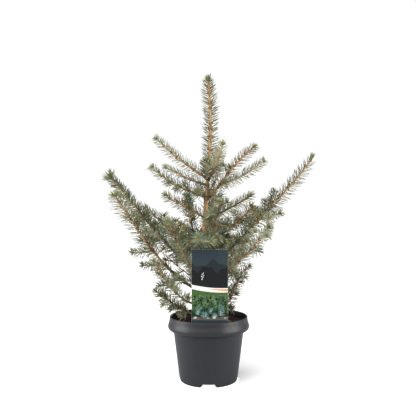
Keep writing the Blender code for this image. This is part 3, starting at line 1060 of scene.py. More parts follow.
@dataclass
class PlantLabel:
    """A card on a tail, with a plain picture of hills and shrubs and no lettering."""

    width: float = 0.0800
    top: float = 0.3072
    shoulder: float = 0.1415
    thickness: float = 0.0008
    middle_x: float = 0.0025
    front_y: float = -0.0724
    corner: float = 0.0015
    tail_width: float = 0.0240
    tail_top: float = 0.1300
    tail_point: float = 0.0880
    ink: float = 0.00002
    samples: int = 64
    rng: np.random.Generator = field(default_factory=lambda: np.random.default_rng(SEED + 2))
    strip_top: float = 0.1520
    panel_foot: float = 0.2230
    band_foot: float = 0.2050
    stripe_from: float = -0.2
    stripe_height: float = 0.0046
    margin: float = 0.00015
    leaf_margin: float = 0.0002
    shrub_rings: int = 9
    shrubs: tuple[tuple[float, float, tuple[float, float]], ...] = (
        (-0.0240, 0.1640, (0.0125, 0.0330)), (0.0020, 0.1660, (0.0110, 0.0260)),
        (0.0250, 0.1620, (0.0135, 0.0430)), (-0.0110, 0.1590, (0.0140, 0.0210)),
        (0.0110, 0.1585, (0.0110, 0.0150)),
    )
    pebbles: tuple[tuple[float, float, float, float], ...] = (
        (0.0100, 0.1575, 0.1, 0.0090), (0.0230, 0.1570, -0.1, 0.0070), (-0.0320, 0.1572, 0.2, 0.0080),
        (-0.0040, 0.1562, 0.0, 0.0050), (-0.0190, 0.1562, -0.2, 0.0060), (0.0340, 0.1566, 0.3, 0.0045),
    )
    sprig: tuple[tuple[float, float, float, float], ...] = (
        (-0.0170, 0.2420, 1.2, 0.0050), (-0.0150, 0.2465, 0.3, 0.0040), (-0.0178, 0.2480, 2.2, 0.0040),
        (-0.0135, 0.2505, 0.4, 0.0036), (-0.0165, 0.2522, 2.3, 0.0036), (-0.0143, 0.2550, 1.3, 0.0040),
    )

    def outline(self) -> Outline:
        """Return the card's outline in X and Z."""
        half, tail = self.width / 2, self.tail_width / 2
        right = [
            (tail, self.tail_point + tail), (tail, self.tail_top), (half, self.shoulder),
            (half, self.top - self.corner), (half - self.corner, self.top),
        ]
        return [(0.0, self.tail_point), *right, *((-x, z) for x, z in reversed(right))]

    def slab(self, outline: Outline, near: float, far: float) -> BMesh:
        """Return a thin upright slab.

        Args:
            outline: Its corners in X and Z, in order.
            near: Y of its front face.
            far: Y of its back face.

        Returns:
            The slab.
        """
        work = bmesh.new()
        work.faces.new([work.verts.new((self.middle_x + x, near, z)) for x, z in outline])
        thicken(work, (0.0, far - near, 0.0))
        bmesh.ops.triangulate(work, faces=[face for face in work.faces if len(face.verts) > 4])
        return work

    def area(self, shares: Array, upper: Array, foot: Array | float) -> Outline:
        """Return the outline of the area between a foot and a line across the card.

        Args:
            shares: Places across, as shares of the half width.
            upper: Height of the line at each place.
            foot: Height of the foot, or its height at each place.

        Returns:
            The corners in X and Z.
        """
        across = (self.width / 2 - self.margin) * shares
        if isinstance(foot, float):
            return [*zip(across, upper), (across[-1], foot), (across[0], foot)]
        return [*zip(across, upper), *zip(across[::-1], foot[::-1])]

    def leaf_shape(self, fatness: float) -> Bundle:
        """Return one flat printed leaf of unit length.

        Args:
            fatness: Its width against its length.

        Returns:
            The leaf, lying in X and Y with its ink's thickness along Z.
        """
        work = bmesh.new()
        bmesh.ops.create_circle(work, cap_ends=True, segments=6, radius=0.5)
        bmesh.ops.scale(work, verts=work.verts, vec=(1.0, fatness, 1.0))
        thicken(work, (0.0, 0.0, 1.0))
        return Bundle.from_bmesh(work)

    def leaves(
        self, rows: Array, layers: Array, slots: Array, fatness: float = 0.42
    ) -> Bundle:
        """Print leaf shapes on the card.

        Args:
            rows: Place across, height, turn and length of each leaf.
            layers: Which layer of ink each lies in.
            slots: Material slot of each.
            fatness: Width of a leaf against its length.

        Returns:
            The leaves as one bundle.
        """
        shape = self.leaf_shape(fatness)
        across, height, turn, length = (rows[:, index, None] for index in range(4))
        x, z = turned(shape.points[:, 0] * length, shape.points[:, 1] * length, turn)
        inside = self.width / 2 - self.leaf_margin
        x = np.clip(across + x, -inside, inside)
        depth = self.front_y - self.ink * (layers[:, None] + shape.points[:, 2])
        return Bundle.copies(shape, np.stack([self.middle_x + x, depth, height + z], axis=-1), slots)

    def hedge(
        self, count: int, heights: tuple[float, float], size: float,
        layer: int, slots: Sequence[int],
    ) -> Bundle:
        """Scatter leaves over the whole width, for a hedge.

        Args:
            count: How many leaves.
            heights: The lowest and the highest place.
            size: Length of a leaf.
            layer: The layer of ink.
            slots: Material slots that the leaves are dealt.

        Returns:
            The hedge.
        """
        reach = self.width / 2 - size
        rows = np.stack([
            self.rng.uniform(-reach, reach, count), self.rng.uniform(*heights, count),
            self.rng.uniform(0.3, math.pi - 0.3, count), size * self.rng.uniform(0.6, 1.3, count),
        ], axis=-1)
        return self.leaves(rows, np.full(count, layer), self.rng.choice(slots, count), 0.55)

    def shrub(
        self, middle: float, foot: float, size: tuple[float, float],
        layer: int, slots: Sequence[int],
    ) -> Bundle:
        """Print a round shrub: rings of leaves, each ring over the wider one behind it.

        Args:
            middle: Its middle across the card.
            foot: Its foot.
            size: Half its width, and its height.
            layer: The lowest layer of ink.
            slots: Material slots from the darkest to the lightest.

        Returns:
            The shrub.
        """
        parts = []
        for ring in range(self.shrub_rings):
            share = 1.0 - ring / self.shrub_rings
            count = 5 + int(24 * share)
            angle = np.linspace(-0.15, math.pi + 0.15, count) + self.rng.normal(0.0, 0.05, count)
            length = size[0] * self.rng.uniform(0.16, 0.30, count)
            rows = np.stack([
                middle + (size[0] * share - length / 2) * np.cos(angle),
                foot + (size[1] * share - length / 2) * np.maximum(0.05, np.sin(angle)),
                angle + self.rng.normal(0.0, 0.25, count),
                length,
            ], axis=-1)
            tone = ring / self.shrub_rings * len(slots) + self.rng.normal(0.0, 0.45, count)
            dealt = np.array(slots)[np.clip(tone, 0, len(slots) - 1).astype(int)]
            parts.append(self.leaves(rows, np.full(count, layer + ring), dealt, 0.50))
        return Bundle.joined(parts)

    def sheets(self, names: Sequence[str]) -> list[Bundle]:
        """Print the flat areas, each over the last.

        Args:
            names: The inks' names in the order of their slots.

        Returns:
            The areas.
        """
        def band(shares: Array) -> Array:
            """Return the middle of the white band."""
            return 0.2140 + 0.0075 * (1.0 - shares) / 2 + 0.0030 * shares**2

        across = np.linspace(-1.0, 1.0, self.samples)
        right = np.linspace(self.stripe_from, 1.0, self.samples)
        stripe = band(right) + 0.0030
        growth = np.maximum(0.0, (right - self.stripe_from) / (1.0 - self.stripe_from))
        top = np.full(self.samples, self.top - self.margin)
        strip = np.full(self.samples, self.strip_top)

        def hills(base: float, swing: float, count: float, phase: float) -> Array:
            """Return a rolling line."""
            return base + swing * (np.sin(count * across + phase) + 0.4 * np.sin(2.3 * count * across))

        areas = (
            ("slate", across, top, self.panel_foot),
            ("dusk", across, hills(0.2760, 0.0070, 4.2, 0.6), self.panel_foot),
            ("charcoal", across, hills(0.2640, 0.0060, 5.4, 2.4), self.band_foot),
            ("white", across, band(across) + 0.0055, self.band_foot),
            ("orange", right, stripe, stripe - self.stripe_height * growth),
            ("forest", across, band(across) - 0.0042, self.strip_top),
            ("night", across, hills(0.1720, 0.0040, 7.4, 3.9), self.strip_top),
            ("ground", across, hills(0.1590, 0.0010, 9.0, 0.3), self.strip_top),
            ("slate", across, strip, self.shoulder + 0.0002),
        )
        bundles = []
        for index, (ink, shares, upper, foot) in enumerate(areas):
            near = self.front_y - self.ink * (index + 1)
            slab = self.slab(self.area(shares, upper, foot), near, self.front_y + 0.00001)
            bundles.append(Bundle.from_bmesh(slab, names.index(ink)))
        return bundles

    def build(self, finishes: Finishes) -> None:
        """Make the card and its print.

        Args:
            finishes: The materials.
        """
        stock = printed_card("label stock", (226, 226, 222), 0.03).material(finishes.groups)
        card = self.slab(self.outline(), self.front_y, self.front_y + self.thickness)
        declare(object_from_bmesh("label_card_stock", card, [stock], 20.0), "label_card", "label_card")
        inks = {
            "charcoal": (32, 33, 35), "slate": (54, 64, 71), "dusk": (42, 48, 53),
            "white": (236, 236, 232), "orange": (230, 144, 36), "forest": (70, 98, 52),
            "teal": (104, 142, 132), "mist": (172, 196, 190), "moss": (116, 146, 86),
            "fir": (50, 80, 72), "night": (34, 52, 38), "ground": (92, 98, 92),
            "stone": (206, 194, 172), "clay": (124, 70, 56),
        }
        paint = [printed_card(f"ink {name}", rgb).material(finishes.groups) for name, rgb in inks.items()]
        names = list(inks)

        def slots(chosen: str) -> list[int]:
            """Return the slots of the inks that are named."""
            return [names.index(name) for name in chosen.split()]

        bundles = self.sheets(names)
        layer = len(bundles) + 1
        leaves = slots("moss night moss teal")
        bundles.append(self.hedge(420, (0.1780, 0.2060), 0.0038, layer, leaves))
        cool = slots("night fir teal teal mist mist")
        for middle, foot, size in self.shrubs:
            bundles.append(self.shrub(middle, foot, size, layer + 1, cool))
            layer += self.shrub_rings
        over = np.full(len(self.pebbles), layer + 1)
        stones = np.array(slots("stone clay stone mist clay stone"))
        bundles.append(self.leaves(np.array(self.pebbles), over, stones, 0.62))
        pale = np.full(len(self.sprig), names.index("white"))
        bundles.append(self.leaves(np.array(self.sprig), over, pale))
        declare(Bundle.joined(bundles).to_object("label_print", paint, False), "label_card")


# ---- The plant's plan ----

class Shoot(NamedTuple):
    """One side shoot: its share along the bough, its turn off it, its climb and its length."""

    at: float
    turn: float
    rise: float
    length: float
    palette: Palette | None = None
    wood: WoodTint | None = None


class Tier(Enum):
    """The tiers of boughs, from the crown down."""

    CROWN = "crown"
    UPPER = "upper"
    MIDDLE = "middle"
    MAIN = "main"
    LOWEST = "lowest"


class TipTuft(Enum):
    """Tufts at the tips: needles, their length, the degrees by which they open, and their lift."""

    STAR = (64, 0.0225, 94.0, 0.25)
    SPRIG = (34, 0.0180, 80.0, 0.10)
    BRUSH = (38, 0.0210, 16.0, 0.80)
    SMALL = (15, 0.0120, 48.0, 0.10)


class Plan(NamedTuple):
    """One bough. The azimuth is 0 along +X and 270 to the front.

    Attributes:
        tier: Its tier.
        height: Where it leaves the stem.
        azimuth: Its heading round +Z.
        rise: Its climb at the foot, in the middle and at the tip.
        length: Its length.
        bare: Length without needles next to the stem.
        shoots: Its side shoots.
        brood: Shares of its length between which more shoots grow by rule.
        clothed_from: Length of old wood that has lost its needles.
        fullness: How densely it is clothed near the stem and near its tip.
        tuft: The tuft at its tip.
        girth: Thickness against the rule for its length.
        weathering: Age of its bark against the rule for its thickness.
        reach: Length of its needles against its tier's.
        spray: Its own tints, where they aren't dealt by chance.
        tip: Tints of the tuft at its tip.
        uplift: Degrees by which its side shoots turn upwards over their length.
    """

    tier: Tier
    height: float
    azimuth: float
    rise: tuple[float, float, float]
    length: float
    bare: float
    shoots: tuple[Shoot, ...] = ()
    brood: tuple[float, float] = (0.22, 0.60)
    clothed_from: float = 0.0
    fullness: tuple[float, float] = (1.1, 1.0)
    tuft: TipTuft = TipTuft.SMALL
    girth: float = 1.0
    weathering: float = 1.0
    reach: float = 1.0
    spray: Palette | None = None
    tip: Palette = Palette.FRESH
    uplift: float = 8.0


NO_BROOD = (1.0, 1.0)

PLANS = {
    "crown_left": Plan(Tier.CROWN, 0.465, 172, (35, 37, 48), 0.158, 0.030, (
        Shoot(0.04, -50, 80, 0.037, Palette.MOSS),),
        NO_BROOD, fullness=(0.9, 1.2)),
    "crown_left_back": Plan(Tier.CROWN, 0.452, 143, (11, 21, 24), 0.139, 0.040, (),
        NO_BROOD, fullness=(0.6, 0.8)),
    "crown_front": Plan(Tier.CROWN, 0.466, 292, (25, 40, 58), 0.113, 0.022, (
        Shoot(0.33, 50, 18, 0.026), Shoot(0.22, 70, 40, 0.020), Shoot(0.33, -100, 50, 0.018),
        Shoot(0.08, -88, 73, 0.040, Palette.MOSS), Shoot(0.12, -60, 76, 0.036, Palette.OLIVE),
        Shoot(0.18, 20, 40, 0.026, Palette.SHADE)), NO_BROOD, fullness=(1.5, 1.0)),
    "crown_back": Plan(Tier.CROWN, 0.470, 72, (30, 42, 52), 0.105, 0.022, (),
        NO_BROOD, fullness=(1.2, 0.6), spray=Palette.GREEN),
    "upper_left": Plan(Tier.UPPER, 0.424, 186, (18, 27, 44), 0.145, 0.030, (
        Shoot(0.60, 46, -14, 0.012), Shoot(0.30, -50, 35, 0.020, Palette.GREEN),
        Shoot(0.05, -50, 66, 0.028, Palette.SHADE), Shoot(0.12, 75, 10, 0.024, Palette.SHADE),
        Shoot(0.45, 50, -30, 0.014, Palette.SHADE)),
        NO_BROOD, fullness=(1.2, 0.9)),
    "upper_right": Plan(Tier.UPPER, 0.4175, 337, (39, 50, 30), 0.168, 0.030, (
        Shoot(0.25, 26, 19.5, 0.123), Shoot(0.50, 80, 60, 0.014), Shoot(0.08, 50, -12, 0.028),
        Shoot(0.30, 60, 0, 0.016)), NO_BROOD, fullness=(0.7, 1.1), uplift=20.0),
    "upper_back": Plan(Tier.UPPER, 0.425, 68, (30, 40, 50), 0.125, 0.028, (),
        NO_BROOD, fullness=(0.4, 0.5), girth=0.8),
    "middle_left": Plan(Tier.MIDDLE, 0.375, 190, (35, 27, 34), 0.108, 0.030, (
        Shoot(0.40, -44, 60, 0.016),), NO_BROOD, fullness=(1.4, 0.9)),
    "middle_back": Plan(Tier.MIDDLE, 0.335, 77, (38, 48, 60), 0.135, 0.030, (
        Shoot(0.50, -50, 60, 0.040), Shoot(0.34, -46, 40, 0.040)), NO_BROOD, fullness=(0.9, 1.1)),
    "steep_back": Plan(Tier.MIDDLE, 0.321, 118, (-8, 57, 79), 0.159, 0.045, (
        Shoot(0.80, -50, 60, 0.022), Shoot(0.55, -60, 30, 0.016), Shoot(0.36, 70, 20, 0.024)),
        NO_BROOD, fullness=(0.7, 1.8)),
    "front_right": Plan(Tier.MIDDLE, 0.293, 291, (38, 53, 62), 0.153, 0.045, (
        Shoot(0.79, 44, 23, 0.090, None, WoodTint.DARK), Shoot(0.89, 60, 32, 0.024),
        Shoot(0.77, -60, 10, 0.023),
        Shoot(0.32, 75, 5, 0.040), Shoot(0.62, -50, 50, 0.026), Shoot(0.62, 65, -12, 0.028))),
    "right_mid": Plan(Tier.MIDDLE, 0.315, 325, (25, 32, 53), 0.157, 0.045, (
        Shoot(0.68, -90, 50, 0.024), Shoot(0.92, 10, -22, 0.030, Palette.GREEN), Shoot(0.75, 51, -7, 0.025),
        Shoot(0.30, 55, -20, 0.045), Shoot(0.30, -60, -15, 0.040), Shoot(0.42, 100, 55, 0.032),
        Shoot(0.36, -70, 60, 0.026), Shoot(0.20, -20, -38, 0.036, Palette.SHADE),
        Shoot(0.22, 30, -35, 0.030, Palette.SHADE), Shoot(0.60, 62, 20, 0.026)),
        fullness=(1.1, 0.8), tip=Palette.GREEN),
    "left_mid": Plan(Tier.MIDDLE, 0.298, 152, (30, 30, 36), 0.196, 0.035, (
        Shoot(0.65, -46, 64, 0.020), Shoot(0.44, 47, 0, 0.030), Shoot(0.23, -59, 20, 0.040),
        Shoot(0.22, 95, -15, 0.042, Palette.SHADE), Shoot(0.32, 75, -25, 0.036),
        Shoot(0.15, 60, -20, 0.040, Palette.SHADE), Shoot(0.27, 50, 25, 0.034),
        Shoot(0.18, 80, -42, 0.036, Palette.SHADE))),
    "front": Plan(Tier.MIDDLE, 0.300, 263, (20, 18, 20), 0.104, 0.035, (
        Shoot(0.50, -65, 10, 0.036, Palette.SHADE), Shoot(0.58, 70, 10, 0.045, Palette.GREEN),
        Shoot(0.34, -75, 0, 0.044, Palette.SHADE), Shoot(0.36, 78, -6, 0.048, Palette.SHADE),
        Shoot(0.74, 60, 0, 0.030), Shoot(0.76, -60, 0, 0.026, Palette.GREEN),
        Shoot(0.34, -62, -26, 0.044, Palette.SHADE), Shoot(0.36, 62, -18, 0.050, Palette.GREEN),
        Shoot(0.30, 10, -20, 0.018, Palette.SHADE), Shoot(0.20, 67, 8, 0.060),
        Shoot(0.60, -85, 28, 0.028, Palette.SHADE), Shoot(0.58, 88, 28, 0.028, Palette.GREEN),
        Shoot(0.45, -50, 32, 0.028, Palette.SHADE), Shoot(0.40, 55, 30, 0.026, Palette.SHADE)),
        NO_BROOD, fullness=(1.5, 1.0)),
    "right_high": Plan(Tier.MAIN, 0.2445, 8, (45, 45, 53), 0.370, 0.060, (
        Shoot(0.52, 56, 58, 0.040), Shoot(0.50, -44, 9, 0.055), Shoot(0.33, -53, 25, 0.026),
        Shoot(0.58, 52, 50, 0.054), Shoot(0.26, -60, 10, 0.045),
        Shoot(0.38, 70, 45, 0.034), Shoot(0.42, 58, 55, 0.050, Palette.GREEN),
        Shoot(0.47, 100, 48, 0.036, Palette.GREEN)),
        (0.45, 0.60), fullness=(1.8, 0.75), tuft=TipTuft.BRUSH, girth=0.85, reach=1.15),
    "right_low": Plan(Tier.MAIN, 0.206, 324, (37, 41, 48), 0.226, 0.060, (
        Shoot(0.70, 45, -18, 0.020), Shoot(0.97, 20, 80, 0.026), Shoot(0.92, -52, -10, 0.026),
        Shoot(0.52, -40, 60, 0.030), Shoot(0.36, 40, -50, 0.020)),
        NO_BROOD, fullness=(1.5, 1.4), girth=0.85),
    "front_left": Plan(Tier.MAIN, 0.216, 231, (35, 52, 59), 0.203, 0.050, (
        Shoot(0.77, 120, 58, 0.036), Shoot(0.78, -60, 42, 0.040), Shoot(0.74, 160, 60, 0.034),
        Shoot(0.86, 140, 66, 0.026)),
        NO_BROOD, clothed_from=0.060, fullness=(1.5, 1.6), girth=0.85, weathering=0.1),
    "left_high": Plan(Tier.MAIN, 0.232, 168, (36, 47.5, 47.5), 0.3385, 0.060, (
        Shoot(0.38, 48, 25, 0.050), Shoot(0.46, -60, 70, 0.016), Shoot(0.57, -49, 60, 0.022),
        Shoot(0.63, 62, 0, 0.026), Shoot(0.60, 40, -25, 0.022, Palette.SHADE),
        Shoot(0.50, 40, -10, 0.020, Palette.GREEN), Shoot(0.42, 35, -12, 0.018, Palette.GREEN),
        Shoot(0.33, 40, -15, 0.020, Palette.SHADE)),
        NO_BROOD, fullness=(1.6, 2.2), tuft=TipTuft.STAR, girth=0.85, reach=1.08,
        spray=Palette.GLAUCOUS),
    "left_low": Plan(Tier.MAIN, 0.1975, 198, (23, 51, 55), 0.317, 0.050, (
        Shoot(0.385, -45, -8, 0.062), Shoot(0.52, -35, -10, 0.052), Shoot(0.54, 48, 70, 0.028),
        Shoot(0.60, -52, 6, 0.018), Shoot(0.23, -20, -20, 0.028, Palette.SHADE),
        Shoot(0.19, 40, 20, 0.028, Palette.SHADE), Shoot(0.72, -140, 50, 0.022),
        Shoot(0.32, -60, 20, 0.026, Palette.SHADE), Shoot(0.80, 30, 20, 0.010, Palette.OLIVE)),
        NO_BROOD, clothed_from=0.150, fullness=(1.5, 0.9), tuft=TipTuft.SPRIG, girth=0.95,
        weathering=1.6, reach=1.28),
    "back_mid": Plan(Tier.MAIN, 0.265, 84, (28, 36, 46), 0.225, 0.045, (
        Shoot(0.48, 20, 20, 0.050), Shoot(0.60, -50, 32, 0.045))),
    "back_left": Plan(Tier.MAIN, 0.215, 138, (22, 28, 40), 0.248, 0.045, (
        Shoot(0.42, -50, 30, 0.055), Shoot(0.50, 45, 10, 0.018, Palette.SHADE),
        Shoot(0.32, 42, -30, 0.026, Palette.SHADE)),
        NO_BROOD, clothed_from=0.204, fullness=(1.4, 1.1), girth=0.50, weathering=1.4),
    "back_right": Plan(Tier.MAIN, 0.235, 44, (24, 30, 42), 0.203, 0.045, (
        Shoot(0.50, 50, 30, 0.060), Shoot(0.66, 50, 25, 0.050)), NO_BROOD, fullness=(0.9, 0.4),
        girth=0.7),
    "right_base": Plan(Tier.LOWEST, 0.152, 19, (-17, 64, 26), 0.163, 0.040, (
        Shoot(0.54, 60, 22, 0.020, Palette.SHADE), Shoot(0.77, -45, 5, 0.014),
        Shoot(0.72, 100, 50, 0.022), Shoot(0.47, -50, 25, 0.016, Palette.SHADE),
        Shoot(0.68, -40, 8, 0.012, Palette.SHADE), Shoot(0.44, 90, 45, 0.020, Palette.GREEN),
        Shoot(0.27, 10, -4, 0.018, Palette.OLIVE), Shoot(0.30, -30, -20, 0.018, Palette.SHADE)),
        NO_BROOD, clothed_from=0.024, fullness=(1.3, 0.9), girth=0.75, spray=Palette.SHADE),
    "left_lower": Plan(Tier.LOWEST, 0.170, 219, (3, 41, 60), 0.195, 0.045, (
        Shoot(0.52, 70, 35, 0.010, Palette.SHADE), Shoot(0.64, -50, -8, 0.022, Palette.SHADE),
        Shoot(0.77, -45, 30, 0.014), Shoot(0.60, 60, 10, 0.024, Palette.SHADE),
        Shoot(0.30, 60, 50, 0.014, Palette.OLIVE)),
        NO_BROOD, clothed_from=0.052, girth=0.75, weathering=1.8, spray=Palette.SHADE),
    "left_base": Plan(Tier.LOWEST, 0.145, 176, (-1, 30, 37), 0.139, 0.045, (
        Shoot(0.65, 46, -6, 0.026), Shoot(0.52, 40, -14, 0.022), Shoot(0.50, -50, 0, 0.022),
        Shoot(0.34, 60, -4, 0.022), Shoot(0.40, -60, 10, 0.018), Shoot(0.78, -50, 20, 0.020)),
        (0.45, 0.85), fullness=(1.6, 1.3), girth=0.8, weathering=2.0, spray=Palette.SHADE),
    "back_low_left": Plan(Tier.LOWEST, 0.180, 104, (12, 20, 35), 0.235, 0.045, (
        Shoot(0.50, -50, 15, 0.055), Shoot(0.62, -30, 35, 0.045),
        Shoot(0.50, 60, 6, 0.034, Palette.SHADE)), NO_BROOD),
    "back_low_right": Plan(Tier.LOWEST, 0.190, 62, (18, 26, 40), 0.225, 0.045, (
        Shoot(0.50, -50, 20, 0.028), Shoot(0.65, 50, 25, 0.045))),
}


# ---- Wood ----

@dataclass
class Axis:
    """A woody axis: stations along it, each with its place, radius and an untwisted frame.

    Attributes:
        points: One row for each station.
        radii: Radius of the wood at each station.
        bare: Length without needles next to the fork.
        age: Age of the bark at each station, from 0 to 1.
        knots: Distances along the axis at which side shoots leave it.
    """

    points: Array
    radii: Array
    bare: float
    age: Array
    knots: tuple[float, ...] = ()

    def __post_init__(self) -> None:
        """Work out the distances and the frame of each station."""
        steps = np.linalg.norm(np.diff(self.points, axis=0), axis=1)
        self.along = np.concatenate([[0.0], np.cumsum(steps)])
        self.tangents = unit(np.gradient(self.points, axis=0))
        side = np.cross(self.tangents[0], UP)
        if np.linalg.norm(side) < 1e-3:
            side = np.array([1.0, 0.0, 0.0])
        normal = unit(np.cross(unit(side), self.tangents[0]))
        normals = []
        for tangent in self.tangents:
            normal = unit(normal - tangent * float(normal @ tangent))
            normals.append(normal)
        self.normals = np.array(normals)
        self.binormals = np.cross(self.tangents, self.normals)

    @property
    def length(self) -> float:
        """Return the length along the axis."""
        return float(self.along[-1])

    def read(self, rows: Array, distances: Array) -> Array:
        """Read values of the stations at distances along the axis, which end at its ends."""
        if rows.ndim == 1:
            return np.interp(distances, self.along, rows)
        return np.stack([np.interp(distances, self.along, column) for column in rows.T], axis=-1)

    def around(self, distances: Array, angles: Array) -> tuple[Array, ...]:
        """Return the place, heading and outward direction on the wood's skin.

        Args:
            distances: Distances along the axis.
            angles: Angles round it, in radians.

        Returns:
            The axis's points, its headings, the outward directions and the radii.
        """
        heads = unit(self.read(self.tangents, distances))
        normals = unit(self.read(self.normals, distances))
        sides = np.cross(heads, normals)
        outward = np.cos(angles)[:, None] * normals + np.sin(angles)[:, None] * sides
        return self.read(self.points, distances), heads, outward, self.read(self.radii, distances)


@dataclass(frozen=True)
class Relief:
    """Relief of the bark: long ridges, fine flakes and swellings at the knots.

    Attributes:
        depth: Depth of the relief as a share of the wood's radius.
        ridges: How often the ridges come round the stem.
        stretch: How long they run along it.
        swelling: Growth of the radius at a knot.
    """

    depth: float = 0.16
    ridges: float = 2.4
    stretch: float = 130.0
    swelling: float = 0.30

    def height(self, along: float, around: float, phase: float) -> float:
        """Return the relief's height from -1 to 1.

        Args:
            along: Distance along the wood.
            around: Angle round it.
            phase: Shift from one piece of wood to the next.

        Returns:
            The height.
        """
        across = Vector((math.cos(around), math.sin(around), 0.0)) * self.ridges
        ridge = noise.noise(across + Vector((phase, 0.0, along * self.stretch)))
        flake = noise.noise(across * 2.6 + Vector((0.0, phase, along * self.stretch * 4.0)))
        broken = noise.noise(across * 1.1 + Vector((phase, phase, along * self.stretch * 1.7)))
        step = 0.35 * math.copysign(min(1.0, abs(broken) * 5.0), broken)
        return 0.9 * ridge + 0.55 * flake + step


@dataclass(frozen=True)
class WoodTurner:
    """Makes the wood of an axis as a closed tube with relief."""

    sides: int = 12
    spacing: float = 0.0016
    relief: Relief = Relief()
    knot_reach: float = 0.0035
    tip_round: float = 0.0012
    tip_share: float = 0.35

    def swelling(self, axis: Axis, distance: float) -> float:
        """Return how much the wood swells near the knots, from 0 to 1."""
        away = [(distance - knot) / self.knot_reach for knot in axis.knots]
        return max((math.exp(-(share**2)) for share in away), default=0.0)

    def tube(self, axis: Axis, phase: float) -> Bundle:
        """Sweep a ring along an axis and give its skin the relief.

        Args:
            axis: The axis.
            phase: Shift of the relief.

        Returns:
            The tube with the fields age, knot and hollow shade, the last giving how deep each point lies in
            a hollow of the relief, where the bark paints shade.
        """
        count = max(3, int(axis.length / self.spacing))
        places = np.linspace(0.0, axis.length, count + 1)
        points = axis.read(axis.points, places)
        normals = unit(axis.read(axis.normals, places))
        heads = unit(axis.read(axis.tangents, places))
        sides = np.cross(heads, normals)
        radii = axis.read(axis.radii, places)
        ages = axis.read(axis.age, places)
        work = bmesh.new()
        layers = {name: work.verts.layers.float.new(name) for name in ("age", "knot", "hollow", "around")}
        ring = bmesh.ops.create_circle(work, cap_ends=True, segments=self.sides, radius=1.0)["verts"]
        for vert in ring:
            vert[layers["around"]] = math.atan2(vert.co.y, vert.co.x)
        edges = work.edges[:]
        for index, place in enumerate(places):
            if index:
                ring, edges = next_ring(work, edges)
            swell = self.swelling(axis, place)
            end = min(1.0, (axis.length - place) / self.tip_round + self.tip_share)
            for vert in ring:
                angle = vert[layers["around"]]
                height = self.relief.height(place, angle, phase)
                radius = radii[index] * (1.0 + self.relief.swelling * swell)
                radius *= (1.0 + self.relief.depth * height) * end
                outward = normals[index] * math.cos(angle) + sides[index] * math.sin(angle)
                vert.co = points[index] + outward * radius
                vert[layers["age"]] = ages[index]
                vert[layers["knot"]] = min(1.0, swell * (0.75 + 0.5 * height))
                # Painted shade: depth in the relief's hollows, which the bark's material darkens.
                vert[layers["hollow"]] = min(1.0, max(0.0, -height * 1.6))
        bmesh.ops.edgeloop_fill(work, edges=edges)
        bmesh.ops.recalc_face_normals(work, faces=work.faces)
        bundle = Bundle.from_bmesh(work)
        del bundle.fields["around"]
        return bundle


# ---- Needles ----

@dataclass(frozen=True)
class NeedleHabit:
    """How an axis carries its needles.

    Attributes:
        per_metre: Needles for each metre.
        length: Length of a full needle.
        foot_spread: Degrees off the stem at the foot of the axis.
        tip_spread: Degrees off it at the tip.
        width: Half the needle's width.
    """

    per_metre: float = 1500.0
    length: float = 0.0190
    foot_spread: float = 58.0
    tip_spread: float = 42.0
    width: float = 0.00082


class Habit(Enum):
    """Habits of the plant's axes."""

    LEADER = NeedleHabit(1950.0, 0.0200, 76.0, 58.0, 0.00088)
    HIGH_BOUGH = NeedleHabit(1500.0, 0.0172, 72.0, 56.0)
    BOUGH = NeedleHabit(1500.0, 0.0188, 72.0, 56.0)
    SHOOT = NeedleHabit(1750.0, 0.0168, 68.0, 52.0)
    TWIG = NeedleHabit(1900.0, 0.0150, 64.0, 50.0)
    TRUNK = NeedleHabit(430.0, 0.0165, 70.0, 64.0)


class NeedleShape:
    """The small shape that every needle repeats: four-sided, thick in the middle, sharp."""

    STATIONS = ((0.0, 0.55), (0.45, 1.0), (0.84, 0.80))

    def __init__(self) -> None:
        """Build the shape with its tip at height 1 and unit half width."""
        work = bmesh.new()
        ring = bmesh.ops.create_circle(work, cap_ends=True, segments=4, radius=1.0)["verts"]
        edges = work.edges[:]
        previous = self.STATIONS[0][1]
        bmesh.ops.scale(work, vec=(previous, previous, 1.0), verts=ring)
        height = 0.0
        for place, width in (*self.STATIONS[1:], (1.0, 0.0)):
            ring, edges = next_ring(work, edges)
            ratio = width / previous
            bmesh.ops.scale(work, vec=(ratio, ratio, 1.0), verts=ring)
            bmesh.ops.translate(work, vec=(0.0, 0.0, place - height), verts=ring)
            previous, height = max(width, 1e-6), place
        bmesh.ops.remove_doubles(work, verts=work.verts, dist=1e-4)
        bmesh.ops.recalc_face_normals(work, faces=work.faces)
        middles = np.array([face.calc_center_median()[:] for face in work.faces])
        self.upper = middles[:, 1] > 0.0
        self.bundle = Bundle.from_bmesh(work)
        self.along = self.bundle.points[:, 2]
        self.across = self.bundle.points[:, 0]
        self.over = self.bundle.points[:, 1]


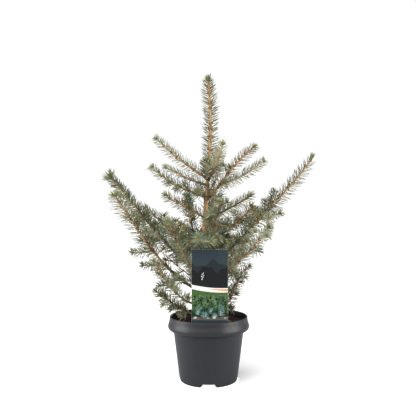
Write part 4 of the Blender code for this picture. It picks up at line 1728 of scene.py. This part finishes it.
@dataclass
class NeedleCoat:
    """Grows the needles of one piece."""

    shape: NeedleShape
    rng: np.random.Generator
    curl: float = 0.07
    lift: float = 0.10
    opening: float = 36.0
    strays: float = 0.20
    pitch: float = 0.0052
    grip: float = 0.62
    dried: float = 0.01
    rise: float = 7.0
    coil_lean: float = 4.5
    needle_lean: float = 4.0
    spread_limits: tuple[float, float] = (14.0, 84.0)
    tuft_depth: float = 0.0050
    tuft_opening: float = 8.0
    parts: list[Bundle] = field(default_factory=list)

    def place(
        self, feet: Array, heads: Array, stems: Array, lengths: Array,
        width: float, palette: Palette, odd: float,
    ) -> None:
        """Place needles and deal them their tints.

        Args:
            feet: Where each needle starts.
            heads: The heading of each.
            stems: The heading of the stem under each.
            lengths: The length of each.
            width: Half the width of a needle.
            palette: Tints of the spray.
            odd: Share of needles that have gone straw-coloured.
        """
        count = len(feet)
        over = unit(stems - heads * (stems * heads).sum(axis=1, keepdims=True))
        side = np.cross(heads, over)
        bend = over * 0.6 + UP * 0.4
        bend -= heads * (bend * heads).sum(axis=1, keepdims=True)
        curl = self.curl * self.rng.uniform(0.2, 1.6, count)[:, None] * lengths[:, None] * bend
        thick = width * self.rng.uniform(0.85, 1.15, count)[:, None, None]
        along = self.shape.along[None, :, None]
        placed = (
            feet[:, None, :]
            + heads[:, None, :] * lengths[:, None, None] * along
            + curl[:, None, :] * along * along
            + side[:, None, :] * thick * self.shape.across[None, :, None]
            + over[:, None, :] * thick * 0.72 * self.shape.over[None, :, None]
        )
        light, dark = palette.value
        upper = self.rng.choice([NEEDLE_SLOTS[tint] for tint in light], count)
        lower = self.rng.choice([NEEDLE_SLOTS[tint] for tint in dark], count)
        dry = self.rng.random(count) < odd
        upper[dry] = NEEDLE_SLOTS[NeedleTint.STRAW]
        lower[dry] = NEEDLE_SLOTS[NeedleTint.OLIVE]
        slots = np.where(self.shape.upper[None, :], upper[:, None], lower[:, None])
        self.parts.append(Bundle.copies(self.shape.bundle, placed, slots))

    def clothe(
        self, axis: Axis, habit: NeedleHabit, palette: Palette,
        fullness: tuple[float, float] = (1.0, 1.0),
    ) -> Feet:
        """Clothe an axis with needles.

        Args:
            axis: The axis.
            habit: How it carries them.
            palette: Tints of the spray.
            fullness: How densely it is clothed at its foot and at its tip.

        Returns:
            Where the needles leave the wood.
        """
        span = axis.length - axis.bare
        inner, outer = fullness
        count = max(4, int(span * habit.per_metre * (inner + outer) / 2))
        even = np.clip((np.arange(count) + self.rng.uniform(-0.4, 0.4, count)) / count, 0.0, 1.0)
        places = np.linspace(0.0, 1.0, 33)
        passed = inner * places + (outer - inner) * places**2 / 2
        share = np.interp(even * passed[-1], passed, places)
        distances = axis.bare + span * share
        angles = np.arange(count) * GOLDEN_ANGLE + self.rng.normal(0.0, 0.16, count)
        distances, coils = self.coiled(distances, angles)
        distances = np.clip(distances, axis.bare, axis.length)
        points, stems, outward, radii = axis.around(distances, angles)
        outward = self.parted(stems, outward)
        feet = points + outward * radii[:, None] * 0.80
        spread = habit.foot_spread + (habit.tip_spread - habit.foot_spread) * share
        level = np.sqrt(np.maximum(0.0, 1.0 - stems[:, 2] ** 2))
        leans = self.rng.normal(0.0, self.coil_lean, coils.max() + 1)
        spread = spread - self.rise * outward[:, 2] * level + leans[coils]
        spread = spread + self.rng.normal(0.0, self.needle_lean, count)
        turn = np.radians(np.clip(spread, *self.spread_limits))[:, None]
        heads = np.cos(turn) * stems + np.sin(turn) * outward
        heads = unit(heads + UP * self.lift * np.maximum(0.0, 0.4 - outward[:, 2:3]) * level[:, None])
        full = np.minimum(1.0, 0.62 + 3.0 * share) * np.minimum(1.0, 0.70 + 1.8 * (1.0 - share))
        lengths = habit.length * full * np.clip(self.rng.normal(1.0, 0.10, count), 0.7, 1.25)
        self.place(feet, heads, stems, lengths, habit.width, palette, self.dried)
        return Feet(points + outward * radii[:, None] * 0.92, stems, outward)

    def coiled(self, distances: Array, angles: Array) -> tuple[Array, Array]:
        """Draw the needles together along a coil round the stem, as their pegs stand on ridges.

        Args:
            distances: Distances of the needles along the stem.
            angles: Their angles round it.

        Returns:
            The new distances, and the turn of the coil that each needle stands on.
        """
        turns = distances / self.pitch - (angles % math.tau) / math.tau
        nearest = np.round(turns)
        coils = (nearest - nearest.min()).astype(int)
        return distances + (nearest - turns) * self.pitch * self.grip, coils

    def parted(self, stems: Array, outward: Array) -> Array:
        """Turn the needles off the bare side of a stem, which lies below and to the front.

        Args:
            stems: The heading of the stem under each needle.
            outward: The outward direction at the foot of each.

        Returns:
            The outward directions in which the needles stand.
        """
        bare = unit(BARE_SIDE - stems * (stems @ BARE_SIDE)[:, None] + 1e-6)
        side = np.cross(stems, bare)
        turn = np.arctan2((outward * side).sum(axis=1), (outward * bare).sum(axis=1))
        opening = math.radians(self.opening) * self.rng.uniform(0.6, 1.3, len(turn))
        opening[self.rng.random(len(turn)) < self.strays] = 0.0
        turned = np.sign(turn) * (opening + (math.pi - opening) * np.abs(turn) / math.pi)
        return np.cos(turned)[:, None] * bare + np.sin(turned)[:, None] * side

    def tuft(
        self, axis: Axis, count: int, length: float, palette: Palette, spread: float,
        lift: float = 0.10,
    ) -> None:
        """Close the tip of an axis with a tuft of needles that point forwards.

        Args:
            axis: The axis.
            count: How many needles.
            length: Their length.
            palette: Their tints.
            spread: Degrees by which the outer needles open more than the inner ones.
            lift: How much they turn upwards.
        """
        share = self.rng.random(count)
        distances = axis.length - self.tuft_depth * share
        angles = np.arange(count) * GOLDEN_ANGLE
        points, stems, outward, radii = axis.around(distances, angles)
        turn = np.radians(self.tuft_opening + spread * np.sqrt(self.rng.random(count)))[:, None]
        heads = unit(np.cos(turn) * stems + np.sin(turn) * outward + UP * lift)
        lengths = length * self.rng.uniform(0.75, 1.15, count)
        feet = points + outward * radii[:, None] * 0.7
        self.place(feet, heads, stems, lengths, NeedleHabit.width, palette, 0.0)

    def gathered(self) -> Bundle:
        """Return all the needles as one bundle."""
        return Bundle.joined(self.parts)


class Feet(NamedTuple):
    """Where needles leave the wood: places, the stem's headings and the outward directions."""

    points: Array
    stems: Array
    outward: Array


# ---- Twigs and buds ----

class SmallShapes:
    """Small shapes that the twigs repeat: needle pegs, buds and bud scales."""

    def __init__(self) -> None:
        """Build each shape along +Z with unit size."""
        self.peg = self._cone(0.45, 1.0)
        self.bud = self._bud()
        self.scale = self._cone(0.0, 0.25)

    @staticmethod
    def _cone(top: float, thickness: float) -> Bundle:
        """Return a four-sided cone.

        Args:
            top: Radius of its top.
            thickness: Its thickness against its width.

        Returns:
            The cone.
        """
        work = bmesh.new()
        bmesh.ops.create_cone(work, cap_ends=True, segments=4, radius1=1.0, radius2=top, depth=1.0)
        bmesh.ops.translate(work, verts=work.verts, vec=(0.0, 0.0, 0.5))
        bmesh.ops.scale(work, verts=work.verts, vec=(thickness, 1.0, 1.0))
        bmesh.ops.remove_doubles(work, verts=work.verts, dist=MERGE_DISTANCE)
        return Bundle.from_bmesh(work)

    @staticmethod
    def _bud() -> Bundle:
        """Return a plump pointed bud."""
        work = bmesh.new()
        bmesh.ops.create_uvsphere(work, u_segments=8, v_segments=6, radius=1.0)
        for vert in work.verts:
            height = (vert.co.z + 1.0) / 2
            width = 1.0 - 0.45 * height**2
            ridge = 1.0 + 0.10 * math.sin(4.0 * math.atan2(vert.co.y, vert.co.x) + 9.0 * height)
            vert.co.x *= width * ridge
            vert.co.y *= width * ridge
            vert.co.z = height
        return Bundle.from_bmesh(work)


@dataclass
class TwigWork:
    """Gathers the stems of side shoots, their pegs, buds and bud scales."""

    shapes: SmallShapes
    rng: np.random.Generator
    turner: WoodTurner = field(
        default_factory=lambda: WoodTurner(8, 0.0022, Relief(0.12, 2.0, 160.0, 0.25))
    )
    parts: list[Bundle] = field(default_factory=list)
    peg_width: tuple[float, float] = (0.00034, 0.00050)
    peg_height: tuple[float, float] = (0.0008, 0.0013)
    peg_sink: float = 0.0002
    stubs_from: float = 0.008
    scale_width: float = 0.0009
    scale_spread: tuple[float, float] = (-0.0016, 0.0010)
    bud_sink: float = 0.0006
    bud_drop: float = 0.0012
    bud_spread: float = 0.0022
    bare_tip: float = 0.010

    def stand(
        self, shape: Bundle, feet: Array, heads: Array, sides: Array,
        widths: Array, lengths: Array, slots: Array,
    ) -> None:
        """Stand copies of a small shape along given headings.

        Args:
            shape: The shape, along +Z.
            feet: Where each copy starts.
            heads: The heading of each.
            sides: A direction that fixes the turn of each.
            widths: Half the width of each.
            lengths: The length of each.
            slots: The tint of each.
        """
        first = unit(np.cross(heads, sides))
        second = np.cross(heads, first)
        local = shape.points
        placed = (
            feet[:, None, :]
            + first[:, None, :] * (widths[:, None] * local[None, :, 1])[..., None]
            + second[:, None, :] * (widths[:, None] * local[None, :, 0])[..., None]
            + heads[:, None, :] * (lengths[:, None] * local[None, :, 2])[..., None]
        )
        self.parts.append(Bundle.copies(shape, placed, slots))

    def stem(self, axis: Axis, tint: WoodTint, phase: float) -> None:
        """Add the stem of a side shoot."""
        tube = self.turner.tube(axis, phase)
        tube.fields = {}
        tube.slots = np.full(len(tube.sizes), WOOD_SLOTS[tint])
        self.parts.append(tube)

    def pegs(self, feet: Feet, tint: WoodTint) -> None:
        """Add the woody peg under each needle.

        Args:
            feet: Where the needles leave the wood.
            tint: The stem's tint.
        """
        count = len(feet.points)
        heads = unit(feet.stems * 0.75 + feet.outward)
        self.stand(
            self.shapes.peg, feet.points - feet.outward * self.peg_sink, heads, feet.stems,
            self.rng.uniform(*self.peg_width, count), self.rng.uniform(*self.peg_height, count),
            np.full(count, WOOD_SLOTS[tint]),
        )

    def stubs(self, axis: Axis, per_metre: float, tint: WoodTint) -> None:
        """Leave old pegs on the bare part of an axis.

        Args:
            axis: The axis.
            per_metre: Pegs for each metre.
            tint: Their tint.
        """
        count = int(max(0.0, axis.bare - self.stubs_from) * per_metre)
        if count < 1:
            return
        distances = self.rng.uniform(self.stubs_from, axis.bare, count)
        points, stems, outward, radii = axis.around(distances, self.rng.random(count) * math.tau)
        self.pegs(Feet(points + outward * radii[:, None] * 0.95, stems, outward), tint)

    def buds(self, axis: Axis, size: float, beside: int) -> None:
        """Put a bud on the tip of an axis, with smaller ones beside it.

        Args:
            axis: The axis.
            size: Half the width of the end bud.
            beside: How many smaller buds stand beside it.
        """
        tip, head = axis.points[-1], axis.tangents[-1]
        feet, heads, widths, lengths = [tip - head * self.bud_sink], [head], [size], [size * 2.7]
        for index in range(beside):
            angle = math.tau * (index + self.rng.uniform(-0.2, 0.2)) / max(1, beside)
            outward = math.cos(angle) * axis.normals[-1] + math.sin(angle) * axis.binormals[-1]
            feet.append(tip - head * self.bud_drop + outward * axis.radii[-1] * 0.8)
            heads.append(unit(head * 0.75 + outward))
            widths.append(size * 0.72)
            lengths.append(size * 1.9)
        count = len(feet)
        slots = self.dealt(count, WoodTint.BUD, WoodTint.BUD_TIP)
        sides = np.repeat(axis.normals[-1][None, :], count, axis=0)
        sides = sides + 0.01 * self.rng.normal(size=(count, 3))
        self.stand(
            self.shapes.bud, np.array(feet), np.array(heads), sides, np.array(widths),
            np.array(lengths), slots,
        )
        self.scales(axis, axis.length - 0.0004, 7, 0.0026)

    def cluster(self, axis: Axis, distance: float, count: int, size: float) -> None:
        """Put a knot of side buds and old scales on the skin of an axis.

        Args:
            axis: The axis.
            distance: Where the knot sits.
            count: How many buds.
            size: Half the width of a bud.
        """
        distances = distance + self.rng.uniform(-self.bud_spread, self.bud_spread, count)
        angles = self.rng.random() * math.tau + np.arange(count) * GOLDEN_ANGLE
        points, stems, outward, radii = axis.around(distances, angles)
        slots = self.dealt(count, WoodTint.BUD, WoodTint.BUD_TIP, WoodTint.BUD)
        widths = size * self.rng.uniform(0.75, 1.2, count)
        self.stand(
            self.shapes.bud, points + outward * radii[:, None] * 0.6, unit(outward + stems * 0.8), stems,
            widths, widths * 2.4, slots,
        )
        self.scales(axis, distance, 5, 0.0024)

    def clusters(self, axis: Axis, spacing: float, size: float) -> None:
        """Put knots of side buds along an axis at uneven distances."""
        place = axis.bare + spacing * self.rng.uniform(0.4, 0.9)
        while place < axis.length - self.bare_tip:
            self.cluster(axis, place, int(self.rng.integers(2, 5)), size)
            place += spacing * self.rng.uniform(0.7, 1.4)

    def scales(self, axis: Axis, distance: float, count: int, length: float) -> None:
        """Put a ring of old bud scales round an axis.

        Args:
            axis: The axis.
            distance: Where the ring sits.
            count: How many scales.
            length: Their length.
        """
        distances = distance + self.rng.uniform(*self.scale_spread, count)
        angles = np.arange(count) * GOLDEN_ANGLE
        points, stems, outward, radii = axis.around(distances, angles)
        heads = unit(stems * self.rng.uniform(0.5, 1.4, (count, 1)) + outward)
        slots = self.dealt(count, WoodTint.SCALE, WoodTint.SCALE, WoodTint.BUD)
        self.stand(
            self.shapes.scale, points + outward * radii[:, None] * 0.85, heads, stems,
            self.scale_width * self.rng.uniform(0.8, 1.4, count),
            length * self.rng.uniform(0.7, 1.3, count), slots,
        )

    def dealt(self, count: int, *choice: WoodTint) -> Array:
        """Deal tints at random to so many copies."""
        return self.rng.choice([WOOD_SLOTS[tint] for tint in choice], count)

    def gathered(self) -> Bundle:
        """Return everything as one bundle."""
        return Bundle.joined(self.parts)


# ---- Trunk and boughs ----

@dataclass
class Trunk:
    """The single stem, from its flare in the soil to its tip."""

    foot: float = 0.1340
    tip: float = 0.6950
    flare_foot: float = 0.1360
    flare_height: float = 0.0150
    flare_radius: float = 0.0110
    needles_from: float = 0.3300
    leader_from: float = 0.4950
    bud_heights: tuple[float, ...] = (0.531, 0.562, 0.579, 0.593, 0.630, 0.641, 0.664, 0.677)
    bends: tuple[tuple[float, float], ...] = (
        (0.136, -0.0026), (0.151, -0.0030), (0.240, -0.0078), (0.335, -0.0107), (0.415, -0.0061),
        (0.485, 0.0000), (0.560, 0.0044), (0.625, 0.0042), (0.695, -0.0006),
    )
    taper: tuple[tuple[float, float], ...] = (
        (0.151, 0.0080), (0.240, 0.0064), (0.345, 0.0053), (0.480, 0.0041), (0.555, 0.0038),
        (0.695, 0.0027),
    )
    ages: tuple[tuple[float, float], ...] = (
        (0.136, 0.95), (0.240, 0.80), (0.330, 0.60), (0.360, 0.38), (0.440, 0.40), (0.480, 0.60),
        (0.505, 0.15), (0.695, 0.05),
    )

    def at(self, heights: Array | float) -> Array:
        """Return the points of the stem's axis at heights."""
        heights = np.asarray(heights, dtype=float)
        return np.stack([between(self.bends, heights), np.zeros_like(heights), heights], axis=-1)

    def axis(self) -> Axis:
        """Return the whole stem as an axis."""
        heights = np.linspace(self.foot, self.tip, 281)
        radii = between(self.taper, heights)
        near = np.clip(1.0 - (heights - self.flare_foot) / self.flare_height, 0.0, 1.0)
        radii = radii + (self.flare_radius - radii) * near**2
        knots = tuple(plan.height - self.foot for plan in PLANS.values())
        return Axis(self.at(heights), radii, 0.0, between(self.ages, heights), knots)

    def part(self, whole: Axis, low: float, high: float) -> Axis:
        """Return the stretch of the stem between two heights."""
        picked = (whole.points[:, 2] >= low) & (whole.points[:, 2] <= high)
        return Axis(whole.points[picked], whole.radii[picked], 0.0, whole.age[picked])


@dataclass
class Bough:
    """One bough with its side shoots, grown from its plan.

    Attributes:
        plan: Its sizes.
        trunk: The stem that it forks from.
        rng: Source of the random draws.
    """

    plan: Plan
    trunk: Trunk
    rng: np.random.Generator
    base_radius: float = 0.0021
    radius_spread: float = 0.0048
    taper: float = 0.48
    slices: int = 48
    wander: float = 0.0014
    wander_pitch: float = 38.0
    fork_reach: float = 0.006
    old_reach: float = 0.010
    grown_length: float = 0.300
    inner_bare: float = 0.35
    shoot_bare: float = 0.002
    shoot_radius: float = 0.0015
    shoot_spread: float = 0.0085
    shoot_taper: float = 0.30
    shoot_step: float = 0.003
    shoot_gap: float = 0.010
    extra_from: float = 0.006
    extra_share: float = 0.55
    extra_base: float = 0.010
    extra_lengths: tuple[float, float] = (0.014, 0.034)
    extra_spacing: tuple[float, float] = (0.018, 0.030)
    extra_turns: tuple[float, float] = (38.0, 66.0)
    extra_climbs: tuple[float, float] = (-28.0, 14.0)

    def climb(self, share: Array) -> Array:
        """Return the bough's climb, on a curve through the plan's three values.

        Args:
            share: Places along it, from 0 to 1.

        Returns:
            Degrees above the level at each place.
        """
        low, middle, high = self.plan.rise
        return (
            low * (1 - share) * (1 - 2 * share)
            + middle * 4 * share * (1 - share)
            + high * share * (2 * share - 1)
        )

    def main_axis(self) -> Axis:
        """Return the bough's own axis, from inside the stem to its tip.

        Returns:
            The axis.
        """
        plan = self.plan
        step = plan.length / self.slices
        middles = (np.arange(self.slices) + 0.5) / self.slices
        moves = heading(plan.azimuth, self.climb(middles)) * step
        start = self.trunk.at(plan.height)
        points = np.concatenate([start[None, :], start + np.cumsum(moves, axis=0)])
        share = np.linspace(0.0, 1.0, len(points))
        side = unit(np.cross(heading(plan.azimuth, 0.0), UP))
        phase = self.rng.uniform(0.0, 50.0)
        reach = self.wander_pitch * plan.length
        sway = np.array([
            [noise.noise(Vector((phase + value * reach, row, 0.0))) for row in (0.0, 9.0)]
            for value in share
        ])
        fade = np.minimum(1.0, share * 6.0)[:, None]
        points = points + (side * sway[:, :1] + UP * sway[:, 1:]) * self.wander * fade
        base = (self.base_radius + self.radius_spread * plan.length) * plan.girth
        radii = base * (1.0 - self.taper * share)
        radii = radii * (1.0 + 0.5 * np.exp(-((share * plan.length / self.fork_reach) ** 2)))
        old = np.clip(1.15 - 1.7 * share, 0.0, 1.0) * min(1.0, plan.length / self.grown_length)
        forked = np.exp(-((share * plan.length / self.old_reach) ** 2))
        age = np.clip(old * plan.weathering + forked, 0.0, 1.0)
        knots = tuple(sorted({shoot.at * plan.length for shoot in plan.shoots}))
        inner = plan.tier in (Tier.CROWN, Tier.UPPER, Tier.MIDDLE)
        bare = plan.bare * (self.inner_bare if inner else 1.0)
        return Axis(points, radii, max(bare, plan.clothed_from), age, knots)

    def side_axis(self, main: Axis, shoot: Shoot) -> Axis:
        """Return the axis of one side shoot.

        Args:
            main: The bough's own axis.
            shoot: The shoot's plan.

        Returns:
            The axis.
        """
        count = max(6, int(shoot.length / self.shoot_step))
        share = (np.arange(count) + 0.5) / count
        climb = shoot.rise + self.plan.uplift * share
        moves = heading(self.plan.azimuth + shoot.turn, climb) * shoot.length / count
        start = main.read(main.points, np.array([shoot.at * main.length]))[0]
        points = np.concatenate([start[None, :], start + np.cumsum(moves, axis=0)])
        along = np.linspace(0.0, 1.0, len(points))
        radii = (self.shoot_radius + self.shoot_spread * shoot.length) * (1.0 - self.shoot_taper * along)
        return Axis(points, radii, self.shoot_bare, np.zeros(len(points)))

    def extra_shoots(self) -> list[Shoot]:
        """Return more side shoots by the branching rule: alternate, shorter towards the tip.

        Returns:
            The shoots that the plan doesn't list.
        """
        plan = self.plan
        taken = [shoot.at for shoot in plan.shoots]
        extra = []
        side = self.rng.choice([-1.0, 1.0])
        place, last = plan.brood
        place = max(place, (plan.bare + self.extra_from) / plan.length)
        while place < last:
            near = min((abs(place - other) for other in taken), default=1.0) * plan.length
            if near > self.shoot_gap:
                reach = (1.0 - place) * plan.length * self.extra_share + self.extra_base
                length = float(np.clip(reach * self.rng.uniform(0.55, 1.0), *self.extra_lengths))
                turn = side * self.rng.uniform(*self.extra_turns)
                rise = float(self.climb(np.array(place))) + self.rng.uniform(*self.extra_climbs)
                extra.append(Shoot(place, turn, rise, length))
            side = -side
            place += self.rng.uniform(*self.extra_spacing) / plan.length
        return extra


@dataclass
class Spruce:
    """The whole plant above the soil."""

    finishes: Finishes
    trunk: Trunk = field(default_factory=Trunk)
    needle: NeedleShape = field(default_factory=NeedleShape)
    shapes: SmallShapes = field(default_factory=SmallShapes)
    main_bud: float = 0.0021
    side_bud: float = 0.0017
    leader_bud: float = 0.0024
    stub_density: float = 900.0
    cluster_spacing: float = 0.024
    long_shoot: float = 0.03
    spray_shares: tuple[tuple[float, tuple[float, ...]], ...] = (
        (0.40, (0.0, 0.42, 0.26, 0.16, 0.12, 0.02, 0.02, 0.0)),
        (0.28, (0.12, 0.10, 0.34, 0.20, 0.16, 0.05, 0.01, 0.02)),
        (0.0, (0.14, 0.06, 0.34, 0.16, 0.16, 0.10, 0.02, 0.02)),
    )

    def spray_palette(self, rng: np.random.Generator, height: float) -> Palette:
        """Deal a spray its tints: pale ones in the crown, olive ones commoner low down.

        Args:
            rng: Source of the random draws.
            height: Where its bough leaves the stem.

        Returns:
            The spray's palette.
        """
        shares = next(row for low, row in self.spray_shares if height > low)
        return list(Palette)[rng.choice(len(Palette), p=shares)]

    def grow_bough(self, name: str) -> tuple[Bundle, Bundle]:
        """Grow one bough with its needles.

        Args:
            name: The bough's name.

        Returns:
            The bark of its main axis, and its twigs with their buds.
        """
        plan, order = PLANS[name], list(PLANS).index(name)
        rng = np.random.default_rng(SEED + 100 + order)
        bough = Bough(plan, self.trunk, rng)
        coat, twigs = NeedleCoat(self.needle, rng), TwigWork(self.shapes, rng)
        main = bough.main_axis()
        habit = (Habit.HIGH_BOUGH if plan.tier in (Tier.CROWN, Tier.UPPER) else Habit.BOUGH).value
        habit = replace(habit, length=habit.length * plan.reach)
        dealt = self.spray_palette(rng, plan.height)
        twigs.pegs(coat.clothe(main, habit, plan.spray or dealt, plan.fullness), WoodTint.TAN)
        twigs.stubs(main, self.stub_density, WoodTint.OLIVE)
        twigs.buds(main, self.main_bud, 3)
        twigs.clusters(main, self.cluster_spacing, self.main_bud)
        count, length, spread, lift = plan.tuft.value
        coat.tuft(main, count, length, plan.tip, spread, lift)
        for knot in (*main.knots, 0.004):
            twigs.scales(main, knot, 9, 0.0028)
        listed = [(shoot, Habit.SHOOT.value) for shoot in plan.shoots]
        extra = [(shoot, Habit.TWIG.value) for shoot in bough.extra_shoots()]
        for number, (shoot, habit) in enumerate(listed + extra):
            side = bough.side_axis(main, shoot)
            tint = rng.choice([WoodTint.TAN, WoodTint.SAND, WoodTint.AMBER])
            tint = shoot.wood or tint
            twigs.stem(side, tint, 3.7 * number + order)
            palette = self.spray_palette(rng, plan.height)
            twigs.pegs(coat.clothe(side, habit, shoot.palette or palette), tint)
            twigs.buds(side, self.side_bud, int(shoot.length > self.long_shoot))
            twigs.scales(side, 0.0030, 6, 0.0022)
            tip = rng.choice([Palette.FRESH, Palette.GREEN, Palette.GLAUCOUS])
            coat.tuft(side, 9, 0.0120, tip, 44.0)
        piece = coat.gathered().to_object(f"needles_{name}", self.finishes.needles, False)
        declare(piece, "needle_foliage", f"{name}_needles")
        return WoodTurner().tube(main, 5.1 * order), twigs.gathered()

    def grow_leader(self) -> None:
        """Grow the stem, its needles and the leader's buds."""
        rng = np.random.default_rng(SEED + 50)
        whole = self.trunk.axis()
        bark = WoodTurner(20, 0.0016, Relief(0.15, 2.6, 110.0, 0.20)).tube(whole, 0.0)
        declare(bark.to_object("trunk_bark", [self.finishes.bark], True), "bark", "trunk")
        coat, twigs = NeedleCoat(self.needle, rng), TwigWork(self.shapes, rng)
        leader = self.trunk.part(whole, self.trunk.leader_from, self.trunk.tip)
        lower = self.trunk.part(whole, self.trunk.needles_from, self.trunk.leader_from)
        twigs.pegs(coat.clothe(leader, Habit.LEADER.value, Palette.GLAUCOUS), WoodTint.AMBER)
        twigs.pegs(coat.clothe(lower, Habit.TRUNK.value, Palette.GREEN), WoodTint.OLIVE)
        coat.tuft(leader, 34, 0.0175, Palette.FRESH, 26.0, 0.40)
        twigs.buds(leader, self.leader_bud, 4)
        for height in self.trunk.bud_heights:
            twigs.cluster(leader, height - self.trunk.leader_from, 5, 0.0026)
        piece = coat.gathered().to_object("needles_leader", self.finishes.needles, False)
        declare(piece, "needle_foliage", "leader_needles")
        declare(twigs.gathered().to_object("buds_leader", self.finishes.wood, False), "bark")

    def grow(self) -> None:
        """Grow the whole plant, tier by tier."""
        self.grow_leader()
        for tier in Tier:
            names = [name for name, plan in PLANS.items() if plan.tier is tier]
            barks, twigs = zip(*(self.grow_bough(name) for name in names))
            bark = Bundle.joined(barks).to_object(f"bark_{tier.value}", [self.finishes.bark], True)
            declare(bark, "bark", *(f"{name}_limb" for name in names))
            wood = Bundle.joined(twigs).to_object(f"twigs_{tier.value}", self.finishes.wood, False)
            declare(wood, "bark")


# ---- Studio ----

@dataclass
class Studio:
    """A plain pale floor that glows brighter under the pot as painted light, soft white light and the
    camera.
    """

    camera_place: tuple[float, float, float] = (-0.0014, -1.26, 0.3971)
    lens: float = 46.77
    floor_size: float = 60.0
    sky: float = 0.46
    backdrop: float = 1.02
    glow: float = 0.08
    bounce: float = 0.50
    painted_glow_patch: tuple[float, float] = (0.066, 0.072)
    key_strength: float = 2.6
    key_from: tuple[float, float, float] = (-0.50, -0.95, 2.05)
    key_softness: float = 44.0
    box_places: tuple[tuple[float, float, float], ...] = ((-1.95, -0.25, 0.75), (1.85, -0.65, 0.75))
    box_sizes: tuple[float, float] = (1.5, 1.7)
    box_aim: tuple[float, float, float] = (0.0, 0.0, 0.30)
    box_power: float = 36.0

    def floor(self) -> None:
        """Make the floor, with a painted glow in a patch under the pot."""
        work = bmesh.new()
        bmesh.ops.create_grid(work, x_segments=8, y_segments=8, size=self.floor_size / 2)
        material, sketch, shader = new_material("studio floor")
        tone = sketch.mix(sketch.noise(sketch.place(), 1.5), shaded(WHITE, 0.93), shaded(WHITE, 0.95))
        seen = sketch.add("LightPath").outputs["Is Camera Ray"]
        across = sketch.add("VectorMath", {0: sketch.place((1.0, 1.0, 0.0))}, operation="LENGTH")
        # Painted light: inside the patch under the pot the floor glows fully for the camera, washing out the
        # shade under the pot and in its notches.
        under = sketch.range(across.outputs["Value"], *self.painted_glow_patch, 1.0, self.glow)
        sketch.fill(shader, {
            "Base Color": sketch.mix(seen, shaded(WHITE, self.bounce), tone),
            "Roughness": 0.9,
            "Specular IOR Level": 0.1,
            "Emission Color": WHITE,
            "Emission Strength": sketch.math("MULTIPLY", seen, under),
        })
        object_from_bmesh("studio_floor", work, [material])

    def lamp(self, data: bpy.types.Light, place: Sequence[float], aim: Sequence[float]) -> None:
        """Put a lamp into the scene and aim it at a point."""
        obj = link_object(data.name, data)
        obj.location = place
        obj.rotation_euler = (Vector(aim) - Vector(place)).to_track_quat("-Z", "Y").to_euler()

    def lights(self) -> None:
        """Make the soft lights and the white surroundings."""
        world = bpy.data.worlds.new("studio white")
        world.use_nodes = True
        sketch = Sketch(world.node_tree)
        seen = sketch.add("LightPath").outputs["Is Camera Ray"]
        strength = sketch.range(seen, 0.0, 1.0, self.sky, self.backdrop)
        sketch.fill(world.node_tree.nodes["Background"], {"Color": WHITE, "Strength": strength})
        bpy.context.scene.world = world
        key = bpy.data.lights.new("key", "SUN")
        key.energy = self.key_strength
        key.angle = math.radians(self.key_softness)
        self.lamp(key, self.key_from, (0.0, 0.0, 0.0))
        for index, place in enumerate(self.box_places):
            box = bpy.data.lights.new(f"box_{index}", "AREA")
            box.shape = "RECTANGLE"
            box.size, box.size_y = self.box_sizes
            box.energy = self.box_power
            self.lamp(box, place, self.box_aim)

    def camera(self) -> None:
        """Make the camera, level and square to the front."""
        data = bpy.data.cameras.new("camera")
        data.lens = self.lens
        data.sensor_width = 36.0
        data.sensor_fit = "HORIZONTAL"
        obj = link_object("camera", data)
        obj.location = self.camera_place
        obj.rotation_euler = (math.pi / 2, 0.0, 0.0)
        bpy.context.scene.camera = obj

    def build(self) -> None:
        """Make the studio and set how colours are shown."""
        self.camera()
        self.floor()
        self.lights()
        view = bpy.context.scene.view_settings
        view.view_transform = "Standard"
        view.look = "None"


def write_sizes() -> None:
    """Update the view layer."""
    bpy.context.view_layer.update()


def main() -> None:
    """Build the studio, the pot, the soil, the label and the plant."""
    logging.basicConfig(level=logging.INFO, format="%(message)s")
    Studio().build()
    finishes = Finishes()
    pot = NurseryPot()
    pot.build(finishes)
    PottingSoil().build(finishes, pot)
    PlantLabel().build(finishes)
    Spruce(finishes).grow()
    write_sizes()


if __name__ == "__main__":
    main()
